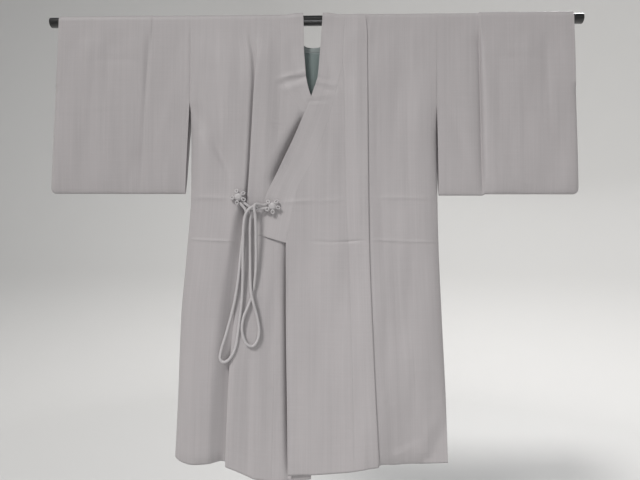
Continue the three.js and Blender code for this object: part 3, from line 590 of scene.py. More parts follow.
def station(run):
    """Height and turn about the rod at distances along the cloth from the rod's top, negative at the front:
    a quarter circle each way, then straight down."""
    return -np.maximum(np.abs(run) - QUARTER, 0), np.clip(run / SHOULDER_DEPTH, -math.pi / 2, math.pi / 2)


def set_out(turn, x, depth, z):
    """Points of the cloth: y is the depth times the turn's sine, and z rises by the depth times its
    cosine."""
    x, depth, z, turn = np.broadcast_arrays(x, depth, z, turn)
    return np.stack([x, depth * np.sin(turn), z + depth * np.cos(turn)], axis=-1)


def relief(x, z, creases):
    """Sum of the creases: each is its height times exp(-|d / width| ** 1.6) of the distance d from its line,
    times a fade from 1 in the middle to 0 at its two ends."""
    total = np.zeros(np.broadcast_shapes(np.shape(x), np.shape(z)))
    for x0, z0, x1, z1, width, height, bow in creases:
        length = math.hypot(x1 - x0, z1 - z0)
        along = ((x - x0) * (x1 - x0) + (z - z0) * (z1 - z0)) / length**2
        off = ((x - x0) * (z1 - z0) - (z - z0) * (x1 - x0)) / length
        inside = np.clip(4 * along * (1 - along), 0, 1)
        off = off + bow * inside
        total += height * np.exp(-(np.abs(off / width) ** 1.6)) * inside**0.7
    return total


def sway(x, z, seed, height):
    """Slight unevenness of hanging cloth: nine plane waves, 30 to 160 mm apart across and far longer down."""
    chance = np.random.default_rng(seed)
    total = np.zeros(np.broadcast_shapes(np.shape(x), np.shape(z)))
    for across, down, phase in zip(
        chance.uniform(0.03, SWAY_WIDEST, 9), chance.uniform(-0.7, 0.7, 9), chance.uniform(0, 2 * math.pi, 9)
    ):
        total += np.sin(2 * math.pi * (x / across + z / (math.copysign(0.25, down) + down)) + phase) * across
    return total * height / SWAY_WIDEST


def hung(hem, x, z):
    """Height of a point once the lowest part of the cloth is stretched down to its own hem line."""
    share = np.clip((HEM_CURVE_START - z) / (HEM_CURVE_START - HEM), 0, 1) ** 1.5
    return z + (table(hem, x) - HEM) * share


def front_relief(x, z, side=1):
    """Creases and sway of the fronts, nothing at the rod, and the inward roll of the hem. The under front
    also has the hollows behind the edges that lie on it."""
    free = ease(*CREASES_FROM, z)
    roll = table(HEM_ROLL, x) * np.clip((HEM + HEM_ROLL_HEIGHT - z) / HEM_ROLL_HEIGHT, 0, 1) ** 2
    creases = FRONT_CREASES if side > 0 else FRONT_CREASES + UNDER_CREASES
    return (relief(x, z, creases) + sway(x, z, *FRONT_SWAY)) * free - roll


def back_relief(x, z):
    """Creases and sway of the back, nothing at the rod, and a slight inward roll of the hem."""
    free = ease(*CREASES_FROM, z)
    roll = BACK_HEM_ROLL * np.clip((HEM + HEM_ROLL_HEIGHT - z) / HEM_ROLL_HEIGHT, 0, 1) ** 2
    return (relief(x, z, BACK_CREASES) + sway(x, z, *BACK_SWAY)) * free - roll


def seam_dip(distance, depth):
    """Depth that the cloth sinks toward a seam: a bell curve of the distance from it."""
    return depth * np.exp(-((distance / SEAM_DIP_REACH) ** 2))


def hang_cloth(name, grid, spread, wall, material, node):
    """A cloth piece: a thin even wall about the grid's surface, whose points that coincide are one."""
    rows, columns = grid.shape[:2]
    points, where = np.unique(np.round(grid.reshape(-1, 3), 6), axis=0, return_inverse=True)
    number = where.reshape(rows, columns)
    corners = cell_corners(rows - 1, columns - 1)
    faces = np.stack([number[place] for place in corners], axis=-1).reshape(-1, 4)
    places = np.stack([spread[place] for place in corners], axis=-2).reshape(-1, 4, 2)
    whole = np.all(faces != np.roll(faces, 1, axis=1), axis=1)
    piece = put_mesh(name, points, faces[whole].tolist(), places[whole].reshape(-1, 2))
    piece.data.materials.append(material)
    thick = piece.modifiers.new("wall", "SOLIDIFY")
    thick.thickness = wall
    thick.offset = 0
    thick.use_quality_normals = True
    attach(piece, "root")
    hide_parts(node)
    return piece


# Distances along the cloth at which it is worked out, closer at the storage creases, the neck and the hem
NEAR_NECK_BACK = np.array([0, 0.0003, 0.0007, 0.0013, 0.002, 0.003])
FRONT_HEIGHTS = np.unique(np.concatenate([
    np.linspace(HEM, 0, 190), np.linspace(-0.575, -0.553, 12), np.linspace(-0.475, -0.452, 9),
    np.linspace(HEM, HEM + HEM_ROLL_HEIGHT, 9), np.linspace(-0.29, -0.255, 16), list(OKUMI_TIP.values()),
]))
BACK_HEIGHTS = np.unique(np.concatenate([
    np.linspace(HEM, NECK_BACK_DROP, 130), np.linspace(NECK_BACK_DROP, 0, 21),
    np.linspace(-0.575, -0.555, 9), NECK_BACK_DROP + NEAR_NECK_BACK,
]))[::-1]
BODY_RUN = np.concatenate([
    FRONT_HEIGHTS - QUARTER, np.linspace(-QUARTER, QUARTER, 13)[1:-1], QUARTER - BACK_HEIGHTS,
])
# Distances across it from the front seam and from the side edge
NEAR_SEAM = np.array([0, 0.0002, 0.0012, 0.0024, 0.0038, 0.0056, 0.008, 0.012])
NEAR_SIDE = np.array([0, 0.0002, 0.001, 0.002, 0.0036, 0.006, 0.0095, 0.014, 0.02, 0.028, 0.037, 0.048, 0.06])


def from_edge(start, end, near, count):
    """Places from one edge to another: the near distances from the first, then even steps to the second."""
    ahead = np.sign(end - start)[:, None]
    rest = np.linspace(0, 1, count + 1)[1:]
    first = start[:, None] + ahead * near
    return np.concatenate([first, mix(first[:, -1:], end[:, None], rest)], axis=1)


def body_panel(side):
    """Points and flat places of one body panel: from the seam, straight to the long fold, through it, up out
    of the hollow beside it, and on to the side edge, where the depth falls to the armhole's as a soft quarter
    turn."""
    z, turn = station(BODY_RUN)
    front, back = BODY_RUN <= -QUARTER, BODY_RUN >= QUARTER
    over = turn / math.pi + 0.5
    seam = np.where(z >= OKUMI_TIP[side], table(NECK_SEAM[side], z), table(OKUMI_SEAM[side], z))
    behind = np.where(z >= NECK_BACK_DROP, side * table(NECK_BACK, z), 0)
    inner = np.where(back, behind, mix(seam, side * table(NECK_BACK, z), np.where(front, 0, over)))
    inner = inner + side * SEAM_HALF
    outer = table(SIDE_EDGE[side], z) - side * (CLOTH_WALL / 2 + 2 * SEAM_HALF)
    outer = mix(outer, side * (ARMHOLE_X - SEAM_HALF), ease(*ARMHOLE_FOOT, z))

    fold_z = np.where(front, z, 0)
    x_fold, width, depth, share = (table(LONG_FOLD[side], fold_z, column) for column in (1, 2, 3, 4))
    sink, reach = (table(FOLD_SINK[side], fold_z, column)[:, None] for column in (1, 2))
    share = share * np.clip(1 - 2 * over * (~front), 0, 1)
    panel = np.where(back, table(BACK_DEPTH, z), table(LEFT_DEPTH if side > 0 else UNDER_DEPTH, z))
    lap = table(LAP_DEPTH, z) if side > 0 else 0
    seam_depth = np.where(back, panel, table(UNDER_DEPTH, z) + lap)
    sink = sink * share[:, None]
    folded = FOLD_SHIFT[side] - FOLD_BACKED[side] * width[:, None]
    x_bends = x_fold[:, None] + side * mix(FOLD_OPEN, folded, share[:, None])
    lift = depth[:, None] * share[:, None] * FOLD_LIFT[side] - sink * FOLD_SINK_SHARE
    fine = np.linspace(FOLD_OPEN[0], FOLD_OPEN[-1], 33)
    x_bends, lift = curve(FOLD_OPEN, x_bends, fine), curve(FOLD_OPEN, lift, fine)

    x_seam = from_edge(inner, x_bends[:, 0], NEAR_SEAM, 12)
    x_side = from_edge(outer, x_bends[:, -1], NEAR_SIDE, 24)[:, ::-1]
    x = np.concatenate([x_seam[:, :-1], x_bends, x_side[:, 1:]], axis=1)
    t = (x_seam - inner[:, None]) / (x_bends[:, :1] - inner[:, None])
    depth_seam = mix(seam_depth[:, None], panel[:, None] + lift[:, :1], ease(0, 1, t))
    rounding = (1 - (1 - np.clip(np.abs(outer[:, None] - x_side) / SIDE_TURN, 0, 1)) ** 2) ** 0.6
    level = (depth * share)[:, None] if side < 0 else 0
    beside = 1 - ease(0, 1, np.abs(x_side - x_bends[:, -1:]) / reach)
    depth_side = panel[:, None] + mix(level, lift[:, -1:], beside)
    depth_side = mix(table(ARMHOLE_DEPTH, z)[:, None], depth_side, rounding)
    depth = np.concatenate([depth_seam[:, :-1], panel[:, None] + lift, depth_side[:, 1:]], axis=1)

    flat_z = z[:, None]
    height = np.where(back[:, None], hung(HEM_BACK, x, flat_z), hung(HEM_FRONT[side], x, flat_z))
    height = np.where((front | back)[:, None], height, 0)
    soft = np.clip(np.abs(outer[:, None] - x) / CREASES_IN, 0, 1) ** 0.5
    bend = np.where(back[:, None], back_relief(x, flat_z), front_relief(x, flat_z, side))
    bend = bend * (front | back)[:, None]
    dip = seam_dip(x - inner[:, None], SEAM_DIPS[side])
    depth = depth + bend * soft - dip * ease(*SEAM_DIPS_FROM, flat_z)
    grid = set_out(turn[:, None], x, np.maximum(depth, 0), height)
    steps = np.linalg.norm(np.diff(grid[len(grid) // 4], axis=0), axis=1)
    across = np.concatenate([[0], np.cumsum(steps)])
    spread = np.stack(np.broadcast_arrays(across[None, :], BODY_RUN[:, None]), axis=-1)
    if side < 0:
        grid, spread = grid[:, ::-1], spread[:, ::-1]
    return grid, spread


CLOTH_SILK = silk(
    "grey silk", CLOTH_COLOUR, roughness=0.55, streaks=1.6, threads=1100, relief=0.35, sheen_weight=0.15,
    specular_ior_level=0.3,
)
for side, word in [(1, "left"), (-1, "right")]:
    grid, spread = body_panel(side)
    panel = hang_cloth(f"body_panel_{word}", grid, spread, CLOTH_WALL, CLOTH_SILK, f"body_{word}")

# Front overlap panels
# A narrow strip of the same silk down each front between the body and the collar or the open front edge,
# cut to a point at the top. The wearer's left one lies on top.
FRONT_EDGE = {
    1: [(-0.572, -0.063), (-0.71, -0.0615), (-0.948, -0.0563), (-1.115, -0.0525)],
    -1: [(-0.572, 0.04), (-0.65, 0.038), (-0.8, 0.03), (-1.115, 0.002)],
}
COLLAR_END = -0.572
# The strip stops this far below its point, and has this many even steps across it by side
TIP_CUT = 0.0008
OVERLAP_STEPS = {1: 15, -1: 64}
EDGE_NEAR = np.array([0, 0.0002, 0.001, 0.0018, 0.003, 0.0045, 0.007, 0.011])
# Dip at the collar's seam, and the rolled bead along the open edge: its height, half width and place
COLLAR_SEAM_DIP = 0.0001
BEAD_HEIGHT, BEAD_REACH, BEAD_FROM_EDGE = 0.0005, 0.001, 0.0012

# How far the left front's open edge stands off the under front below the collar, and how far across the strip
# that reaches. Columns: z, distance
OPEN_LIFT_REACH = 0.07
OPEN_LIFT = [(-0.11, 0), (-0.5, 0), (-0.6, 0.004), (-0.75, 0.004), (-0.95, 0.002), (-1.115, 0.001)]


def front_depth(side, z):
    """Depth of a front layer near its opening: the under layer's, and for the left front the lap's on top."""
    return table(UNDER_DEPTH, z) + (table(LAP_DEPTH, z) if side > 0 else 0)


def between(start, end, count):
    """Places across a strip: close together at both of its edges and in even steps between them."""
    ahead = np.sign(end - start)[:, None]
    reach = np.minimum(EDGE_NEAR / (2.5 * EDGE_NEAR[-1]), 0.4)
    first = np.minimum(EDGE_NEAR, np.abs(end - start)[:, None] * reach)
    middle = np.linspace(0, 1, count + 1)[1:-1]
    low, high = start[:, None] + ahead * first, end[:, None] - ahead * first[:, ::-1]
    return np.concatenate([low, mix(low[:, -1:], high[:, :1], middle), high], axis=1)


def overlap_panel(side):
    """Points and flat places of an overlap panel, from its seam with the body to its free edge."""
    tip = OKUMI_TIP[side]
    z = np.append(FRONT_HEIGHTS[FRONT_HEIGHTS < tip - 2 * TIP_CUT], tip - TIP_CUT)
    seam = table(OKUMI_SEAM[side], z) - side * SEAM_HALF
    free = np.where(z >= COLLAR_END, table(NECK_SEAM[side], z), table(FRONT_EDGE[side], z)) + side * SEAM_HALF
    x = between(seam, free, OVERLAP_STEPS[side])
    flat_z = z[:, None]
    depth = front_depth(side, z)[:, None] + front_relief(x, flat_z, side)
    if side > 0:
        inward = np.clip(1 - (x - free[:, None]) / OPEN_LIFT_REACH, 0, 1)
        depth = depth + table(OPEN_LIFT, z)[:, None] * inward**2
    collared = flat_z >= COLLAR_END
    depth = depth - seam_dip(x - seam[:, None], SEAM_DIPS[side])
    depth = depth - seam_dip(x - free[:, None], COLLAR_SEAM_DIP) * collared
    off_bead = np.abs(np.abs(x - free[:, None]) - BEAD_FROM_EDGE)
    bead = np.exp(-((off_bead / BEAD_REACH) ** 2)) * ~collared
    height = hung(HEM_FRONT[side], x, flat_z)
    grid = set_out(np.full_like(flat_z, -math.pi / 2), x, depth + BEAD_HEIGHT * bead, height)
    spread = np.stack(np.broadcast_arrays(x * side, flat_z - QUARTER), axis=-1)
    return (grid[:, ::-1], spread[:, ::-1]) if side > 0 else (grid, spread)


for side, word in [(1, "left"), (-1, "right")]:
    grid, spread = overlap_panel(side)
    panel = hang_cloth(f"overlap_panel_{word}", grid, spread, CLOTH_WALL, CLOTH_SILK, f"okumi_{word}")

# Collar
# One long band of the same silk, sewn along the neck edge and joined at the centre back. It lies flat down
# both fronts, rises a little over the rod, and folds outward and down round the back of the neck.
COLLAR_WALL = 0.0012
COLLAR_COLOUR = (0.412, 0.39, 0.395)
# Width from the seam to the free edge, for the flat cloth and the bead
COLLAR_BAND = 0.06
# How far it rises over the rod, over what distance along the cloth, and between what shares of its width
COLLAR_RISE, COLLAR_RISE_REACH, COLLAR_RISES = 0.004, 0.022, (0.15, 0.75)
# The folded edge's bead: its height, half width and distance from the edge
COLLAR_BEAD, COLLAR_BEAD_REACH, COLLAR_BEAD_FROM_EDGE = 0.0003, 0.0018, 0.0022

# Free edge down the fronts. Columns: z at the seam, z at the edge, x at the edge
COLLAR_EDGE = {
    1: [
        (0, 0, 0.0242), (-0.04, -0.04, 0.0214), (-0.08, -0.081, 0.0186), (-0.11, -0.112, 0.0164),
        (-0.15, -0.15, 0.0132), (-0.185, -0.184, 0.0032), (-0.215, -0.214, -0.0065), (-0.25, -0.243, -0.018),
        (-0.33, -0.306, -0.0445), (-0.38, -0.352, -0.066), (-0.43, -0.404, -0.0905), (-0.48, -0.461, -0.1165),
        (-0.572, -0.552, -0.131),
    ],
    -1: [
        (0, 0, -0.0238), (-0.04, -0.04, -0.0228), (-0.08, -0.082, -0.0219), (-0.11, -0.112, -0.0195),
        (-0.15, -0.15, -0.0162), (-0.185, -0.184, -0.009), (-0.215, -0.214, 0.002), (-0.25, -0.25, 0.024),
        (-0.33, -0.318, 0.051), (-0.38, -0.366, 0.065), (-0.43, -0.416, 0.077), (-0.48, -0.466, 0.09),
        (-0.572, -0.552, 0.105),
    ],
}
# How far the left half's free edge stands off the front. Columns: z, distance
EDGE_LIFT = [
    (0, 0), (-0.214, 0), (-0.25, 0.003), (-0.33, 0.007), (-0.38, 0.006), (-0.43, 0.001), (-0.48, 0),
    (-0.572, 0.001),
]
# Fold over the rod and round the back of the neck. Columns: distance along the cloth from the rod's top, x
# and z of the fold, width turned down, degrees by which it points below +X, share folded
COLLAR_FOLD = [
    (-0.0225, 0.0242, 0, 0.004, 0, 0), (-0.015, 0.0246, 0, 0.004, 0, 0), (-0.0075, 0.025, 0, 0.005, 0, 0),
    (0, 0.027, 0, 0.007, 0, 0.4), (0.0075, 0.03, 0, 0.009, 0, 0.8), (0.015, 0.033, 0, 0.0115, 0, 1),
    (0.0225, 0.036, 0, 0.014, 20, 1), (0.0425, 0.038, -0.02, 0.024, 35, 1),
    (0.0665, 0.036, -0.039, 0.033, 50, 1), (0.0815, 0.03, -0.05, 0.039, 62, 1),
    (0.0925, 0.0215, -0.058, 0.042, 72, 1), (0.0995, 0.012, -0.0625, 0.0435, 82, 1),
    (0.1015, 0, -0.064, 0.045, 90, 1),
]
FOLD_STEP = 0.003
FOLD_DEPTH = 0.0033
# Shares of a row at which the cloth is worked out, and those between which it folds
COLLAR_SHARES = np.array([
    0, 0.003, 0.02, 0.04, 0.07, 0.12, 0.2, 0.3, 0.4, 0.48, 0.52, 0.55, 0.58, 0.62, 0.66, 0.7, 0.76, 0.82,
    0.88, 0.93, 0.96, 0.98, 0.997, 1,
])
FOLD_FROM, FOLD_TO = 0.55, 0.7


def collar_half(side):
    """Points and flat places of half the collar. Down the front each row runs straight from seam to free
    edge. From the rod backward it runs from the seam to the fold and on along the fold's own direction, and
    the two kinds of row blend over the rod by the share folded."""
    heights = FRONT_HEIGHTS[FRONT_HEIGHTS >= COLLAR_END]
    behind = np.concatenate([np.linspace(0, NECK_BACK_DROP, 34), NECK_BACK_DROP + NEAR_NECK_BACK])
    behind = np.unique(behind)[::-1]
    run = np.concatenate([heights - QUARTER, np.linspace(-QUARTER, QUARTER, 17)[1:-1], QUARTER - behind])
    z, turn = station(run)
    front, back = run <= -QUARTER, run >= QUARTER
    over = turn / math.pi + 0.5
    shares = COLLAR_SHARES
    across = shares[None, :, None]
    x_over = mix(np.abs(table(NECK_SEAM[side], 0)), table(NECK_BACK, 0), over)
    x_seam = np.where(back, table(NECK_BACK, z), x_over)
    x_fold, z_fold, width, heading, folded = (
        table(COLLAR_FOLD, run, column)[:, None] for column in range(1, 6)
    )
    start = np.stack([x_seam - SEAM_HALF, z + SEAM_HALF * back], axis=-1)[:, None]
    start[..., 0] = np.maximum(start[..., 0], SEAM_HALF)
    crease = np.stack([np.maximum(x_fold, SEAM_HALF), z_fold], axis=-1)
    angle = np.radians(heading)
    down = np.stack([np.cos(angle), -np.sin(angle)], axis=-1)
    stand = (crease - start) / np.linalg.norm(crease - start, axis=-1, keepdims=True)
    before = crease - stand * FOLD_STEP
    flat = mix(start, crease, across)
    rising = mix(start, before, np.clip(across / FOLD_FROM, 0, 1))
    bend = np.clip((across - FOLD_FROM) / (FOLD_TO - FOLD_FROM), 0, 1)
    after = crease + down * FOLD_STEP
    turned = (1 - bend) ** 2 * before + 2 * bend * (1 - bend) * crease + bend**2 * after
    hanging = np.clip((across - FOLD_TO) / (1 - FOLD_TO), 0, 1)
    lower = crease + down * mix(FOLD_STEP, width[..., None], hanging)
    shaped = np.where(across < FOLD_FROM, rising, np.where(across < FOLD_TO, turned, lower))
    at = mix(flat, shaped, folded[..., None])
    lift = ease(FOLD_FROM, FOLD_TO, shares)[None, :] * FOLD_DEPTH * folded
    x, height = side * at[..., 0], at[..., 1]
    depth = np.where(back, table(BACK_DEPTH, z), SHOULDER_DEPTH)[:, None] + lift

    hem = np.where(front, z, 0)
    front_seam = table(NECK_SEAM[side], hem) - side * SEAM_HALF
    front_x = mix(front_seam, table(COLLAR_EDGE[side], hem, 2), shares[:, None]).T
    front_z = mix(hem, table(COLLAR_EDGE[side], hem), shares[:, None]).T
    raised = table(EDGE_LIFT, hem)[:, None] * shares**2 if side > 0 else 0
    x = np.where(front[:, None], front_x, x)
    height = np.where(front[:, None], front_z, height)
    depth = np.where(front[:, None], front_depth(side, hem)[:, None] + raised, depth)

    from_seam, from_free = shares[None, :] * COLLAR_BAND, (1 - shares[None, :]) * COLLAR_BAND
    bead = COLLAR_BEAD * np.exp(-(((from_free - COLLAR_BEAD_FROM_EDGE) / COLLAR_BEAD_REACH) ** 2))
    rise = COLLAR_RISE * np.exp(-((run[:, None] / COLLAR_RISE_REACH) ** 2))
    rise = rise * ease(*COLLAR_RISES, shares)[None, :]
    fine = front_relief(x, height, side) * front[:, None]
    depth = depth + rise + bead - seam_dip(from_seam, COLLAR_SEAM_DIP) + fine
    grid = set_out(turn[:, None], x, depth, height)
    spread = np.stack(np.broadcast_arrays(from_seam * side, run[:, None]), axis=-1)
    return (grid[:, ::-1], spread[:, ::-1]) if side > 0 else (grid, spread)


COLLAR_SILK = silk(
    "collar silk", COLLAR_COLOUR, roughness=0.55, streaks=1.3, threads=1100, relief=0.35, sheen_weight=0.15,
    specular_ior_level=0.3,
)
for side, word in [(1, "left"), (-1, "right")]:
    grid, spread = collar_half(side)
    half = hang_cloth(f"collar_{word}_half", grid, spread, COLLAR_WALL, COLLAR_SILK, f"collar_{word}")

# Sleeves
# A tube of the same silk about the rod on each side, folded at the shoulder, open at the armhole and at the
# cuff, and sewn along the bottom and below the cuff, with one long pressed crease down its front.
SLEEVE_SEAM_END = -0.215
SLEEVE_HEM = -0.446
# Below this height the cloth is stretched to the bottom edge, whose outer corner is round
SLEEVE_LEVEL = -0.37
CORNER = 0.015
# The cuff: its place, the heights between which it closes, how far it is drawn in while open, and how far
# from its edge the closed part rounds off
CUFF_X = 0.66
CUFF_CLOSES = (-0.165, -0.192)
CUFF_DRAWN_IN = 0.0055
CUFF_ROUNDING = 0.02
SLEEVE_SEAM_DIP = 0.0002
# Half widths of the step at the pressed crease and of the bottom edge's step below it
STEP_REACH, DROP_REACH = 0.002, 0.004
# Columns: z, half the sleeve's thickness
SLEEVE_DEPTH = [
    (0, 0.0143), (-0.12, 0.0138), (-0.215, 0.013), (-0.31, 0.0114), (-0.37, 0.0094), (-0.415, 0.0068),
    (-0.437, 0.0038), (-0.443, 0.002), (-0.446, 0),
]
# By side: x of the crease at the shoulder and at the bottom, step of the cloth at it, how far the armhole's
# edge slants outward below the seam, how much lower the bottom edge is inside the crease, and how far the
# cuff stands out at the shoulder and at the bottom
SLEEVE_CUT = {
    1: (0.4188, 0.428, 0.0035, 0.0053, -0.0035, -0.0035, 0.001),
    -1: (0.411, 0.431, 0.0008, 0.0102, 0, -0.0025, 0.006),
}
# Creases of each sleeve's front, with the columns of the body's. Its back has the other sleeve's, at a share
# of their height. They set in below the rod between two heights, and fade where the sleeve is thinner than
# the last value.
SLEEVE_BACK_SHARE = 0.8
SLEEVE_SWAY = 0.0007
SLEEVE_CREASES_FROM = (-0.02, -0.08)
SLEEVE_THIN = 0.009
SLEEVE_CREASES = {
    1: [
        (0.520, -0.03, 0.528, -0.44, 0.0045, -0.0011, 0), (0.530, -0.25, 0.534, -0.44, 0.0045, 0.0009, 0),
        (0.578, -0.01, 0.588, -0.30, 0.0130, -0.0024, 0), (0.437, -0.35, 0.464, -0.45, 0.0110, 0.0026, 0),
        (0.43, -0.042, 0.60, -0.044, 0.0060, -0.0008, 0), (0.43, -0.106, 0.60, -0.108, 0.0080, -0.0007, 0),
        (0.325, -0.20, 0.395, -0.40, 0.0160, -0.0018, 0.006), (0.470, -0.40, 0.560, -0.43, 0.0070, 0.0012, 0),
        (0.45, -0.228, 0.65, -0.231, 0.0045, 0.0007, 0), (0.32, -0.229, 0.41, -0.230, 0.0045, -0.0008, 0),
        (0.4150, 0.06, 0.4275, -0.56, 0.0050, -0.0075, 0), (0.4060, 0.06, 0.4185, -0.56, 0.0150, -0.0040, 0),
    ],
    -1: [
        (0.520, -0.04, 0.527, -0.43, 0.0045, -0.0009, 0), (0.570, -0.02, 0.584, -0.34, 0.0140, 0.0018, 0),
        (0.34, -0.16, 0.400, -0.40, 0.0160, 0.0016, 0.006), (0.44, -0.33, 0.47, -0.45, 0.0120, -0.0020, 0),
        (0.43, -0.044, 0.60, -0.046, 0.0060, -0.0008, 0), (0.43, -0.105, 0.60, -0.107, 0.0080, -0.0006, 0),
        (0.62, -0.05, 0.628, -0.22, 0.0090, -0.0012, 0), (0.45, -0.228, 0.65, -0.230, 0.0045, 0.0006, 0),
        (0.413, 0.06, 0.438, -0.500, 0.0060, -0.0036, 0),
    ],
}
# Where the cloth is worked out: heights, closer at the bottom and where the cuff closes, and distances across
# from the armhole's edge, on both sides of the pressed crease, and in from the cuff
SLEEVE_HEIGHTS = np.unique(np.concatenate([
    np.linspace(SLEEVE_HEM, 0, 84), np.linspace(SLEEVE_HEM, SLEEVE_HEM + 0.012, 7),
    np.linspace(-0.2, -0.16, 9),
]))
NEAR_ARMHOLE = np.array([0, 0.0002, 0.0014, 0.003, 0.006, 0.011, 0.018])
NEAR_CREASE = np.array([
    -0.01, -0.006, -0.0035, -0.0022, -0.0012, -0.0004, 0.0004, 0.0012, 0.0022, 0.0035, 0.006, 0.01,
])
NEAR_CUFF = np.array([0.03, 0.02, 0.015, 0.011, 0.008, 0.0055, 0.0035, 0.002, 0.001, 0.0002, 0])


def sleeve_tube(side):
    """Points and flat places of a sleeve: a ring up the front, over the rod and down the back, whose depth
    closes to a rounded edge below the cuff, and whose front stands one step further out beyond the crease."""
    c_top, c_foot, step, slant, drop, out_top, out_foot = SLEEVE_CUT[side]
    run = np.concatenate([
        SLEEVE_HEIGHTS - QUARTER, np.linspace(-QUARTER, QUARTER, 13)[1:-1], QUARTER - SLEEVE_HEIGHTS[::-1],
    ])
    z, turn = station(run)
    flat_z = z[:, None]
    below_seam = np.clip((SLEEVE_SEAM_END - z) / (SLEEVE_SEAM_END - SLEEVE_HEM), 0, 1)
    inner = ARMHOLE_X + SEAM_HALF + slant * below_seam
    crease = mix(c_top, c_foot, z / SLEEVE_HEM)
    closed = ease(*CUFF_CLOSES, flat_z)
    cuff = CUFF_X + mix(out_top, out_foot, flat_z / SLEEVE_HEM) - CUFF_DRAWN_IN * (1 - closed)
    first = inner[:, None] + NEAR_ARMHOLE
    folds = crease[:, None] + NEAR_CREASE
    last = cuff - NEAR_CUFF
    x = np.concatenate([
        first, mix(first[:, -1:], folds[:, :1], np.linspace(0, 1, 14)[1:-1]), folds,
        mix(folds[:, -1:], last[:, :1], np.linspace(0, 1, 34)[1:-1]), last,
    ], axis=1)
    past = np.clip((x - (cuff - CORNER)) / CORNER, 0, 1)
    off_crease = x - crease[:, None]
    hem = SLEEVE_HEM + CORNER * (1 - np.sqrt(1 - past**2)) + drop * ease(DROP_REACH, -DROP_REACH, off_crease)
    low = np.clip((SLEEVE_LEVEL - flat_z) / (SLEEVE_LEVEL - SLEEVE_HEM), 0, 1)
    height = flat_z + low * (hem - SLEEVE_HEM)
    full = table(SLEEVE_DEPTH, z)[:, None]
    fore = np.clip(0.5 - turn / math.pi, 0, 1)[:, None]
    depth = full + step * fore * (full / SHOULDER_DEPTH) * ease(-STEP_REACH, STEP_REACH, off_crease)
    round_off = np.sqrt(np.maximum(1 - (1 - np.clip((cuff - x) / CUFF_ROUNDING, 0, 1)) ** 2, 0))
    soft = np.clip(full / SLEEVE_THIN, 0, 1) * ease(*SLEEVE_CREASES_FROM, flat_z) * mix(1, round_off, closed)
    front_bends, back_bends = (relief(x, flat_z, SLEEVE_CREASES[half]) for half in (side, -side))
    bends = np.where(turn[:, None] > 0, back_bends * SLEEVE_BACK_SHARE, front_bends)
    inward = np.clip((x - inner[:, None]) / CREASES_IN, 0, 1) ** 0.5
    bends = (bends + sway(x, flat_z, 21 + side, SLEEVE_SWAY)) * inward
    arm_seam = seam_dip(x - inner[:, None], SLEEVE_SEAM_DIP) * (flat_z > SLEEVE_SEAM_END)
    depth = depth * mix(1, round_off, closed) + bends * soft - arm_seam * ease(*SEAM_DIPS_FROM, flat_z)
    height = np.where(np.abs(run[:, None]) < QUARTER, 0, height)
    grid = set_out(turn[:, None], side * x, np.maximum(depth, 0), height)
    spread = np.stack(np.broadcast_arrays(side * x, run[:, None]), axis=-1)
    return (grid, spread) if side > 0 else (grid[:, ::-1], spread[:, ::-1])


for side, word in [(1, "left"), (-1, "right")]:
    grid, spread = sleeve_tube(side)
    tube = hang_cloth(f"sleeve_{word}_tube", grid, spread, CLOTH_WALL, CLOTH_SILK, f"sleeve_{word}")

# Lining
# The back lining of smooth teal-grey silk, the part of it that shows through the neck: it sags between the
# two sides of the collar, and a lighter strip along its top is set on with a seam. Below the strip its
# teal-grey is painted darker than the silk's own, as painted shade for the shade inside the neck.
LINING_DEPTH = 0.01
LINING_WALL = 0.0008
LINING_SAG = 0.0016
# Teal-grey of the lining silk, darkened as painted shade for the shade inside the neck
LINING_COLOUR_AND_SHADE = (0.165, 0.205, 0.2)
LINING_STRIP_COLOUR = (0.23, 0.262, 0.258)
STRIP_WIDTH = 0.013
# Depth and half width of the groove below the strip
STRIP_GROOVE, STRIP_GROOVE_REACH = 0.0012, 0.0016
# Columns: z, half width
LINING_SIDES = [
    (-0.0675, 0.032), (-0.09, 0.046), (-0.114, 0.06), (-0.16, 0.068), (-0.215, 0.07), (-0.262, 0.07),
]
# Top edge. Columns: x, z
LINING_TOP = [(0, -0.0675), (0.012, -0.066), (0.022, -0.0625), (0.032, -0.054)]
LINING_FOOT = -0.262
share = np.linspace(-1, 1, 61)
level = np.unique(np.concatenate([np.linspace(0, 1, 60), np.linspace(0.045, 0.085, 13)]))[:, None]
top = table(LINING_TOP, np.abs(share) * LINING_TOP[-1][0])
height = mix(LINING_TOP[0][1], LINING_FOOT, level)
x = table(LINING_SIDES, height) * share
z = height + (top - LINING_TOP[0][1]) * (1 - ease(0, 0.25, level))
down = LINING_TOP[0][1] - height
groove = STRIP_GROOVE * np.exp(-(((down - STRIP_WIDTH) / STRIP_GROOVE_REACH) ** 2))
sag = LINING_SAG * np.sin(math.pi * np.clip(level * 1.2, 0, 1)) * (1 - share**2)
# One slanted ridge and one upright trough where the silk is drawn
pleats = 0.0009 * np.exp(-((share - 0.35 + 0.5 * level) / 0.07) ** 2)
pleats = pleats - 0.0008 * np.exp(-((share + 0.2) / 0.09) ** 2)
depth = LINING_DEPTH - sag + groove + pleats * ease(0.05, 0.3, level) + sway(x, z, 31, 0.0005)
grid = set_out(np.full_like(z, math.pi / 2), x, depth, z)
spread = np.stack([x, np.broadcast_to(z, x.shape)], axis=-1)
